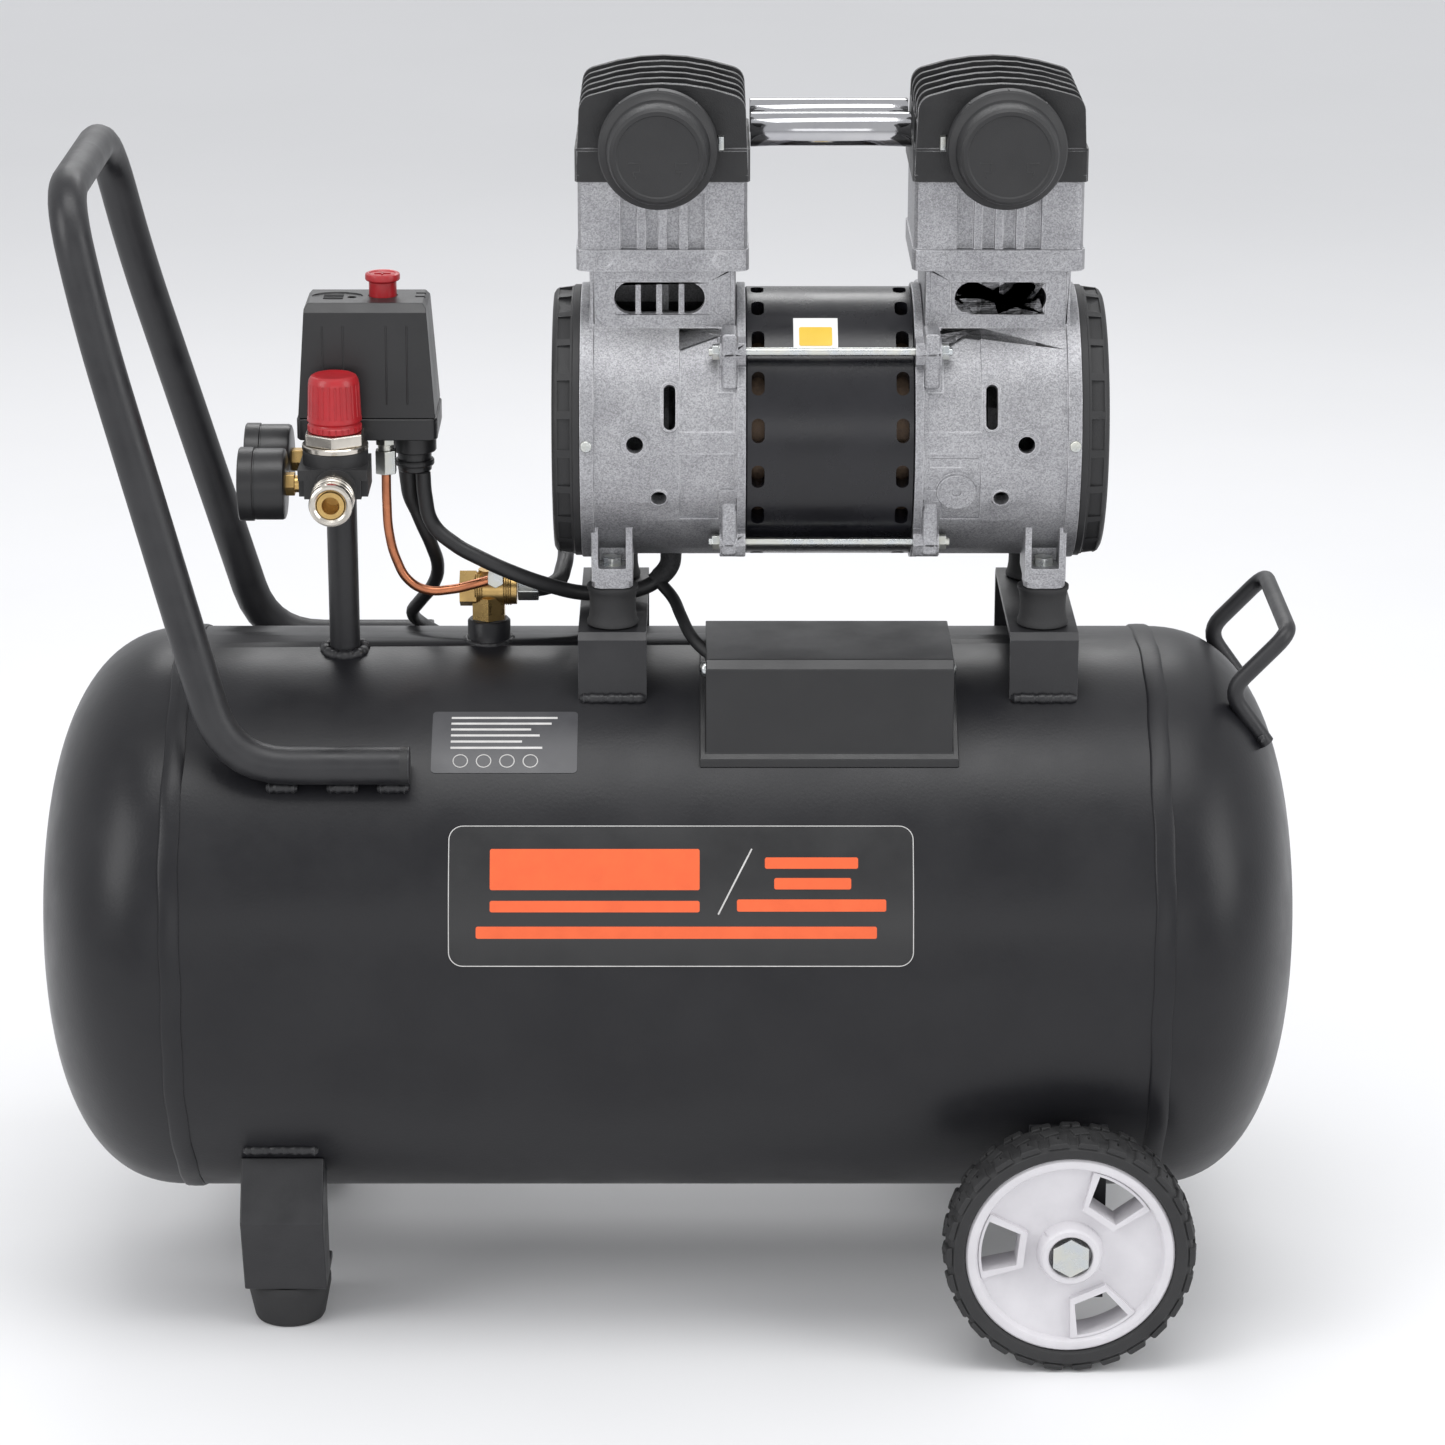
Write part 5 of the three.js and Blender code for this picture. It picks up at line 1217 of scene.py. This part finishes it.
for end, side in (("front", -1), ("rear", 1)):
    low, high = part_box(f"wheel_tyre_{end}")
    hub = (low + high) / 2
    body = bodyOf(f"wheel_rim_{end}")
    w = wheel["half"]
    # Outlines run from the outer face, side * w, to the inner one.
    rimOutline = [(0.0542, w - 0.0042), (0.0552, w - 0.0028), (0.0572, w - 0.0022), (0.0598, w - 0.0026),
        (0.061, w - 0.004), (0.061, -w + 0.004), (0.0598, -w + 0.0028), (0.0552, -w + 0.0028),
                  (0.0542, -w + 0.0042), (0.0538, -0.0078), (0.0, -0.0078), (0.0, 0.0072), (0.030,
                  0.0072), (0.045, 0.0088), (0.0535, 0.0098), (0.0542, w - 0.0042)]
    rim = turnedPiece([(r, side * a) for r, a in rimOutline], "y", hub, 96, closed=False)
    hubOutline = [(0.0, -w + 0.0005), (0.0165, -w + 0.0005), (0.0175, -w + 0.0015), (0.0182, 0.0072),
        (0.0196, 0.0068), (0.0178, 0.0145), (0.0172, w - 0.0008), (0.0163, w), (0.0136, w), (0.0128,
        w - 0.0008),
                  (0.0128, 0.0078), (0.0, 0.0078)]
    hubPiece = turnedPiece([(r, side * a) for r, a in hubOutline], "y", hub, 64, closed=False)
    combine(rim, [hubPiece], "UNION")
    frames = []
    cuts = []
    for grow, y0, y1, store in ((0.0034, -0.0085, 0.0118, frames), (0.0, -0.03, 0.03, cuts)):
        shape = prismPiece(windowOutline(grow), "y", *sorted((side * y0, side * y1)))
        turn = math.radians(wheel["firstWindow"] if side < 0 else 180 - wheel["firstWindow"])
        shape.matrix_world = Matrix.Translation(hub) @ Matrix.Rotation(-turn, 4, "Y")
        settle(shape)
        if store is cuts:
            roundEdges(shape, 0)
        ringCopies(shape, "y", hub, 3)
        store.append(shape)
    keepInside = turnedPiece([(0.0, -0.02), (0.0536, -0.02), (0.0536, 0.02), (0.0, 0.02)], "y", hub, 96,
        closed=False)
    combine(frames[0], [keepInside], "INTERSECT")
    combine(rim, frames, "UNION")
    combine(rim, cuts)
    roundEdges(rim, 0.0008, 3, angle=30)
    dress(rim, f"wheelRim{end.capitalize()}", "rimPlastic", body=body, replaced=(f"wheel_rim_{end}",))

    t = wheel["tyre"]
    tyreOutline = [(0.0613, w - 0.0032), (0.0626, w - 0.0016), (0.0655, w - 0.0008), (0.0680, w - 0.0006),
        (0.0688, w - 0.0014), (0.0705, w - 0.0022), (0.0716, w - 0.0046), (0.0718, w - 0.0085),
                   (0.0722, 0.0028), (0.0722, -0.0028), (0.0718, -w + 0.0085), (0.0716,
                   -w + 0.0046), (0.0705, -w + 0.0022), (0.0688, -w + 0.0014), (0.0680,
                   -w + 0.0006), (0.0655, -w + 0.0008),
                   (0.0626, -w + 0.0016), (0.0613, -w + 0.0032), (0.0613, w - 0.0032)]
    tyre = turnedPiece([(r, side * a) for r, a in tyreOutline], "y", hub, 120)
    smoothShade(tyre, 30)
    blocks = []
    for face, lead in ((1, 0.0), (-1, 0.5)):
        lug = prismPiece([(-0.0062, 0.0692), (-0.0056, t - 0.0006), (-0.0046, t), (0.0046, t),
            (0.0056, t - 0.0006), (0.0062, 0.0692)], "y", *sorted((face * 0.0065, face * (w - 0.0004))))
        pushVertices(lug, lambda co: abs(co.y) > 0.012 and co.z > 0.072, (0.0, 0.0, -0.0016))
        roundEdges(lug, 0.0006, 2)
        slitFrom, slitTo = sorted((face * 0.005, face * 0.011))
        slit = addBlock((-0.0007, slitFrom, 0.0725), (0.0007, slitTo, 0.076))
        combine(lug, [slit])
        step = math.tau / wheel["blocks"]
        lug.matrix_world = Matrix.Translation(hub) @ Matrix.Rotation(lead * step, 4, "Y")
        settle(lug)
        ringCopies(lug, "y", hub, wheel["blocks"])
        blocks.append(lug)
    centre = prismPiece([(-0.0052, 0.071), (-0.0046, t - 0.0003), (0.0046, t - 0.0003), (0.0052, 0.071)],
        "y", -0.0042, 0.0042)
    roundEdges(centre, 0.0005, 2)
    centre.matrix_world = Matrix.Translation(hub) @ Matrix.Rotation(0.25 * math.tau / wheel["blocks"], 4,
        "Y") @ Matrix.Rotation(0.35, 4, "Z")
    settle(centre)
    ringCopies(centre, "y", hub, wheel["blocks"])
    dress(joined([tyre, *blocks, centre]), f"wheelTyre{end.capitalize()}", "tyreRubber", body=body,
        replaced=(f"wheel_tyre_{end}",))

    bolt = cadCopy(f"wheel_bolt_{end}")
    roundEdges(bolt, 0.0005, 2)
    dress(bolt, f"wheelBolt{end.capitalize()}", "brightZinc", body=bodyOf(f"wheel_bolt_{end}"),
        replaced=(f"wheel_bolt_{end}",))
print("wheels made")

# ---- handles ----
handle = dict(radius=0.011, bend=0.036, legs=[(-0.148, 0.1248, 0.132), (-0.253, 0.1248, 0.132),
    (-0.322, 0.1, 0.382), (-0.338, 0.092, 0.458)])
nearLeg = [(x, -y, axisZ + z) for x, y, z in handle["legs"]]
farLeg = [(x, y, axisZ + z) for x, y, z in reversed(handle["legs"])]
bar = tubePiece(bentPoints([*nearLeg, *farLeg], handle["bend"], 7), handle["radius"], sides=10,
    resolution=3, handle="VECTOR")
dress(bar, "handleTube", "bracketPaint", replaced=("handle",))
plugs = []
for y in (-0.1248, 0.1248):
    outline = [(0.0, -0.004), (0.0112, -0.004), (0.0112, 0.0), (0.0108, 0.0008), (0.0085, 0.0014),
        (0.008, 0.0004), (0.0, 0.0004)]
    cap = turnedPiece(outline, "x", (-0.1492, y, axisZ + 0.132), 40, closed=False)
    smoothShade(cap, 35)
    plugs.append(cap)
dress(joined(plugs), "handlePlugs", "matBlackPlastic")
lift = [(0.353, 0.06, 0.124), (0.33, 0.06, 0.156), (0.364, 0.06, 0.192)]
liftLine = [(x, -y, axisZ + z) for x, y, z in lift] + [(x, y, axisZ + z) for x, y, z in reversed(lift)]
liftRod = tubePiece(bentPoints(liftLine, 0.012, 6), 0.005, sides=8, resolution=3, handle="VECTOR")
dress(liftRod, "liftHandle", "bracketPaint", replaced=("lift_handle",))
liftBeads = [weldBead([(0.3505, y - 0.006, axisZ + 0.1275), (0.3475, y, axisZ + 0.1305),
    (0.3505, y + 0.006, axisZ + 0.1275)], 0.0028, 8) for y in (-0.06, 0.06)]
dress(joined(liftBeads), "liftHandleWelds", "bracketPaint")
print("handles made")

# ---- post, pressure switch and button ----
postLow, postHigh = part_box("outlet_post")
postX, postY = (postLow.x + postHigh.x) / 2, (postLow.y + postHigh.y) / 2
post = turnedPiece([(0.0, axisZ + 0.155), (0.009, axisZ + 0.155), (0.009, postHigh.z - 0.0006),
    (0.0084, postHigh.z), (0.0, postHigh.z)], "z", (postX, postY, 0), 56, closed=False)
smoothShade(post, 40)
dress(post, "outletPost", "bracketPaint", replaced=("outlet_post",))
base = cadCopy("switch_base")
roundEdges(base, 0.001, 3)
glandRing = turnedPiece([(0.0098, 0.0), (0.0112, 0.0), (0.0116, 0.0008), (0.0116, 0.0026), (0.0112, 0.0034),
    (0.0098, 0.0034), (0.0098, 0.0)], "z", (-0.149, -0.008, 0.5035), 40)
dress(joined([base, glandRing]), "switchBase", "satinBlackPlastic", replaced=("switch_base",))
cover = cadCopy("switch_cover")
coverLow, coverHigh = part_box("switch_cover")
wellSlots = [addBlock((-0.1468, -0.0075, coverHigh.z - 0.0012), (-0.1392, -0.0045, coverHigh.z + 0.002)),
             addBlock((-0.1468, 0.0015, coverHigh.z - 0.0012), (-0.1392, 0.0045, coverHigh.z + 0.002))]
bpy.ops.mesh.primitive_cylinder_add(vertices=56, radius=1, depth=0.004,
    location=(-0.1925, -0.004, coverHigh.z + 0.0012), scale=(0.0148, 0.0098, 1))
oval = bpy.context.active_object
settle(oval)
keyHole = addRod("z", coverHigh.z - 0.006, coverHigh.z + 0.002, 0.0026, (-0.184, -0.004, 0), 24)
for tool in (oval, keyHole, *wellSlots):
    combine(cover, [tool])
roundEdges(cover, 0.0013, 3)
ribs = []
for x in (-0.2, -0.188, -0.163, -0.151):
    lowZ, highZ = axisZ + 0.322, axisZ + 0.368
    slope = 0.0045 / 0.062
    ys = [coverLow.y + 0.0002 + slope * (z - coverLow.z) for z in (lowZ, highZ)]
    ribs.append(tubePiece([(x, ys[0], lowZ), (x, (ys[0] + ys[1]) / 2, (lowZ + highZ) / 2),
        (x, ys[1], highZ)], 0.0006, sides=3, resolution=2))
insetLines = []
for k in range(3):
    y = -0.0085 + 0.0045 * k
    insetLines.append(addBlock((-0.2005, y - 0.0005, coverHigh.z - 0.001),
        (-0.189, y + 0.0005, coverHigh.z - 0.0003)))
dress(joined([cover, *ribs, *insetLines]), "switchCover", "satinBlackPlastic", replaced=("switch_cover",))
low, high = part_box("switch_button")
middle = (low + high) / 2
top = high.z
outline = [(0.0, low.z), (0.0081, low.z), (0.0081, top - 0.0056), (0.0088, top - 0.0049),
    (0.0098, top - 0.0046), (0.0102, top - 0.0040), (0.0102, top - 0.0018), (0.0099, top - 0.0009),
           (0.0088, top - 0.0004), (0.0078, top - 0.0006), (0.0072, top - 0.0012), (0.0, top - 0.0012)]
button = turnedPiece(outline, "z", (middle.x, middle.y, 0), 64, closed=False)
smoothShade(button, 30)
cross = [addBlock((middle.x - 0.0048, middle.y - 0.0005, top - 0.0014),
    (middle.x + 0.0048, middle.y + 0.0005, top - 0.0006)),
         addBlock((middle.x - 0.0005, middle.y - 0.0034, top - 0.0014),
         (middle.x + 0.0005, middle.y + 0.0034, top - 0.0006))]
dress(joined([button, *cross]), "switchButton", "redPlastic", body=bodyOf("switch_button"),
    replaced=("switch_button",))
print("switch made")

# ---- regulator, coupler, gauges ----
regX, regY, regBase = -0.192, -0.052, axisZ + 0.276
casting = addBlock((regX - 0.0206, regY - 0.0195, regBase),
    (regX + 0.0194, regY + 0.0195, regBase + 0.0172))
for sideX in (-1, 1):
    notch = addBlock((regX - 0.0006 + sideX * 0.0245 - 0.008, regY - 0.025, regBase - 0.002),
        (regX - 0.0006 + sideX * 0.0245 + 0.008, regY - 0.0135, regBase + 0.011))
    combine(casting, [notch])
ringBody = turnedPiece([(0.0, 0.0155), (0.0185, 0.0155), (0.0190, 0.0162), (0.0190, 0.0242),
    (0.0184, 0.0252), (0.0, 0.0252)], "z", (regX, regY, regBase), 64, closed=False)
snout = turnedPiece([(0.0, -0.0735), (0.0122, -0.0735), (0.0122, -0.0685), (0.0132, -0.066),
    (0.0132, -0.058), (0.0, -0.058)], "y", (-0.191, 0, axisZ + 0.282), 40, closed=False)
link = addRod("y", -0.036, -0.027, 0.006, (regX, 0, axisZ + 0.288), 32)
for piece in (ringBody, snout, link):
    combine(casting, [piece], "UNION")
roundEdges(casting, 0.0011, 3)
dress(casting, "regulatorCasting", "matBlackPlastic", replaced=("regulator_body",))
collarRing = turnedPiece([(0.0, 0.0252), (0.0186, 0.0252), (0.0192, 0.0258), (0.0192, 0.0282),
    (0.0186, 0.0288), (0.0, 0.0288)], "z", (regX, regY, regBase), 64, closed=False)
smoothShade(collarRing)
bonnet = addRod("z", regBase + 0.0288, regBase + 0.036, 0.0190, (regX, regY, 0), 6)
roundEdges(bonnet, 0.0009, 3)
stem = addRod("z", regBase + 0.0355, regBase + 0.0405, 0.0069, (regX, regY, 0), 32)
dress(joined([bonnet, collarRing, stem]), "regulatorBonnet", "nickelPlate")
low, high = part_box("regulator_knob")
kz = low.z
outline = [(0.0072, 0.0), (0.0152, 0.0), (0.0157, 0.0006), (0.0157, 0.0034), (0.0150, 0.0042),
    (0.0146, 0.0050), (0.0150, 0.0058), (0.0158, 0.0064), (0.0158, 0.0078), (0.0155, 0.0090), (0.0148,
    0.0275),
           (0.0143, 0.0302), (0.0132, 0.0321), (0.0118, 0.0329), (0.0098, 0.0330), (0.0090, 0.0326), (0.0,
           0.0326)]
knobOutline = [*outline, (0.0, 0.0062), (0.0072, 0.0062), (0.0072, 0.0)]
knob = turnedPiece(knobOutline, "z", (regX, regY, kz), 104, closed=False)
flute = addRod("z", kz + 0.0092, kz + 0.0285, 0.00105, (regX + 0.0161, regY, 0), 12)
pushVertices(flute, lambda co: co.z > kz + 0.02, (-0.0008, 0, 0))
ringCopies(flute, "z", (regX, regY, 0), 26)
combine(knob, [flute])
notchTool = addRod("z", kz - 0.0005, kz + 0.0036, 0.0006, (regX + 0.0158, regY, 0), 8)
ringCopies(notchTool, "z", (regX, regY, 0), 26)
combine(knob, [notchTool])
roundEdges(knob, 0.0002, 2, angle=30)
dress(knob, "regulatorKnob", "redPlastic", body=bodyOf("regulator_knob"), replaced=("regulator_knob",))

couplerAt = (-0.191, 0, axisZ + 0.282)
core = turnedPiece([(0.0051, -0.1072), (0.0078, -0.1072), (0.008, -0.1066), (0.008, -0.0805),
    (0.0, -0.0805), (0.0, -0.0872), (0.0051, -0.0872), (0.0051, -0.1072)], "y", couplerAt, 48, closed=False)
smoothShade(core, 35)
dress(core, "couplerCore", "turnedBrass")
hexCollar = addRod("y", -0.0808, -0.0735, 0.0112, couplerAt, 6)
roundEdges(hexCollar, 0.0007, 2)
dress(hexCollar, "couplerHex", "nickelPlate")
outline = [(0.0083, -0.1066), (0.0098, -0.1078), (0.0112, -0.108), (0.0122, -0.1074), (0.0126, -0.1062),
    (0.0126, -0.1035), (0.0121, -0.1031), (0.0121, -0.1024), (0.0126, -0.102), (0.0126, -0.0996),
           (0.0119, -0.0990), (0.0119, -0.0960), (0.0126, -0.0954), (0.0126, -0.0934), (0.0121,
           -0.093), (0.0121, -0.0922), (0.0126, -0.0918), (0.0126, -0.0872), (0.0115, -0.0855), (0.0083,
           -0.0855), (0.0083, -0.1066)]
sleeve = turnedPiece(outline, "y", couplerAt, 72)
smoothShade(sleeve, 30)
dress(sleeve, "couplerSleeve", "nickelPlate", body=bodyOf("coupler_sleeve"), replaced=("coupler_sleeve",))

for name, y, z, stemEnd in (("outlet", -0.052, axisZ + 0.280, -0.2126),
    ("tank", -0.008, axisZ + 0.283, -0.2005)):
    face = -0.248
    at = (0, y, z)
    outline = [(0.0, 0.0046), (0.0186, 0.0046), (0.0186, 0.0006), (0.0192, 0.0), (0.0208, 0.0),
        (0.0215, 0.0007), (0.0215, 0.0084), (0.0211, 0.0088), (0.0206, 0.0088), (0.0206, 0.0096),
               (0.0208, 0.0098), (0.0208, 0.0250), (0.0202, 0.0264), (0.0186, 0.027), (0.0, 0.027)]
    case = turnedPiece([(r, face + a) for r, a in outline], "x", at, 80, closed=False)
    smoothShade(case, 28)
    dress(case, f"gaugeCase{name.capitalize()}", "satinBlackPlastic", replaced=(f"gauge_{name}",))
    dial = addRod("x", face + 0.0040, face + 0.0047, 0.0184, at, 64)
    dress(dial, f"gaugeDial{name.capitalize()}", "dialWhite")
    ticks = []
    for i in range(41):
        a = math.radians(-135 + 270 * i / 40)
        long = 0.0028 if i % 5 == 0 else 0.0015
        tick = addBlock((face + 0.0037, -0.00018 if i % 5 else -0.0003, 0.0168 - long),
            (face + 0.0041, 0.00018 if i % 5 else 0.0003, 0.0168))
        tick.matrix_world = Matrix.Translation(at) @ Matrix.Rotation(a, 4, "X")
        settle(tick)
        ticks.append(tick)
    for i in range(0, 9, 2):
        a = math.radians(-135 + 270 * i / 8)
        bpy.ops.object.text_add()
        number = bpy.context.active_object
        number.data.body = str(i * 20)
        number.data.size = 0.0042
        number.data.align_x = "CENTER"
        number.data.align_y = "CENTER"
        number.data.extrude = 0.0001
        selectOnly(number)
        bpy.ops.object.convert(target="MESH")
        number = bpy.context.active_object
        number.matrix_world = (Matrix.Translation((face + 0.0039, y + 0.0112 * math.sin(-a),
            z + 0.0112 * math.cos(a)))
                               @ Matrix.Rotation(-math.pi / 2, 4, "Z") @ Matrix.Rotation(math.pi / 2, 4,
                               "X"))
        settle(number)
        ticks.append(number)
    dress(joined(ticks), f"gaugeMarks{name.capitalize()}", "dialBlack")
    lens = turnedPiece([(0.0, face + 0.0002), (0.0187, face + 0.0002), (0.0187, face + 0.0007),
        (0.0, face + 0.0007)], "x", at, 64, closed=False)
    dress(lens, f"gaugeLens{name.capitalize()}", "clearLens")
    stemParts = [addRod("x", -0.2212, stemEnd, 0.005, at, 32),
        addRod("x", -0.2212, -0.2158 if name == "outlet" else -0.2135, 0.0072, at, 6)]
    stem = joined(stemParts)
    roundEdges(stem, 0.0004, 2)
    dress(stem, f"gaugeStem{name.capitalize()}", "turnedBrass")
    refinish(f"needle_{name}", "redPlastic")
print("regulator and gauges made")

# ---- check valve, copper tube, hose and leads ----
valve = cadCopy("check_valve")
threads = []
for x in (-0.1222, -0.0922):
    for k in range(4):
        bpy.ops.mesh.primitive_torus_add(major_radius=0.0096, minor_radius=0.0005, major_segments=40,
            minor_segments=6,
                                         location=(x + 0.0013 * (k - 1.5) + (0.0095 if x < -0.1 else -0.0035), 0,
                                                   axisZ + 0.2013), rotation=(0, math.pi / 2, 0))
        thread = bpy.context.active_object
        settle(thread)
        threads.append(thread)
roundEdges(valve, 0.0006, 2)
dress(joined([valve, *threads]), "checkValve", "turnedBrass", replaced=("check_valve",))
tubeLine = [(-165, -22, 280), (-165, -22, 260), (-164, -22, 242), (-160, -21, 225), (-153, -20, 212),
    (-143, -19, 206), (-128, -18, 206), (-114, -17, 209), (-102, -15, 212)]
copper = tubePiece(fromAxis(tubeLine), 0.0028, sides=6, resolution=8)
dress(copper, "unloaderTube", "drawnCopper", replaced=("unloader_tube",))
nutAt = (-0.165, -0.022, 0)
tubeNuts = [addRod("z", axisZ + 0.2786, axisZ + 0.2926, 0.0068, nutAt, 6),
    addRod("z", axisZ + 0.2926, axisZ + 0.296, 0.0046, nutAt, 24), addRod("z", axisZ + 0.296,
    axisZ + 0.3003, 0.0062, nutAt, 6),
            addRod("y", -0.0195, -0.0098, 0.0052, (-0.102, 0, axisZ + 0.212), 6)]
for nut in tubeNuts:
    roundEdges(nut, 0.0005, 2)
dress(joined(tubeNuts), "unloaderNuts", "brightZinc")
outletX = -2.55 * mm
hoseLine = [(-89.4, 0, 201.3), (-78, 0, 201.3), (-68, 8, 202), (-63, 30, 206), (-62, 60, 214),
    (-60, 86, 236), (-55, 104, 278), (-42, 112, 338), (-22, 112, 398), (-8, 108, 446), (-2.55, 92, 472.6),
            (-2.55, 74, 478.6), (-2.55, 48.8, 478.6)]
hose = tubePiece(fromAxis(hoseLine), 0.005, sides=7, resolution=10)
dress(hose, "dischargeHose", "cableJacket", replaced=("discharge_hose",))
hoseEnds = [addRod("x", -0.0894, -0.077, 0.0076, (0, 0, axisZ + 0.2013), 6),
    addRod("y", 0.0488, 0.0608, 0.0081, (outletX, 0, axisZ + 0.4786), 6)]
for piece in hoseEnds:
    roundEdges(piece, 0.0006, 2)
ferrules = [turnedPiece([(0.0, 0.0), (0.0062, 0.0), (0.0066, 0.001), (0.0066, 0.009), (0.0058, 0.0112),
    (0.0, 0.0112)], "y", (outletX, 0.0605, axisZ + 0.4786), 32, closed=False)]
smoothShade(ferrules[0])
dress(joined([*hoseEnds, *ferrules]), "hoseFittings", "brightZinc")
leadLine = [(-144, -13, 276.3), (-143, -14, 262), (-139, -15, 246), (-126, -21, 235), (-110, -25, 227),
    (-90, -26, 218), (-70, -20, 209), (-50, -12, 202), (-33, -6, 200.6), (-16, -3, 202), (-5, -1, 208),
            (1, 0, 216), (2, 0, 221), (2, 0, 225.3)]
lead = tubePiece(fromAxis(leadLine), 0.0045, sides=6, resolution=8)
dress(lead, "motorLead", "cableJacket", replaced=("motor_lead",))
sleeveLine = [(-9, -2, 206), (-5, -1, 208.5), (1, 0, 216), (2, 0, 224.6)]
braid = tubePiece(fromAxis(sleeveLine), 0.0062, sides=6, resolution=6, radii=[0.78, 0.95, 1.0, 1.05])
dress(braid, "leadSleeve", "braidSleeve")
boxLeadLine = [(-4, -3, 205), (3, -12, 199), (8, -26, 192), (14, -40, 184), (22, -50, 178), (32, -56, 173)]
boxLead = tubePiece(fromAxis(boxLeadLine), 0.0036, sides=6, resolution=6)
dress(boxLead, "capacitorLead", "cableJacket")
print("pipes and leads made")

# ---- what stays as it is in the frame ----
refinish("rotor", "darkSteel")
for end in ("left", "right"):
    refinish(f"piston_{end}", "castSilver")

# ---- floor ----
bpy.ops.mesh.primitive_plane_add(size=40)
floor = bpy.context.active_object
floor.name = "floor"
floor.data.materials.append(materials["paleFloor"])
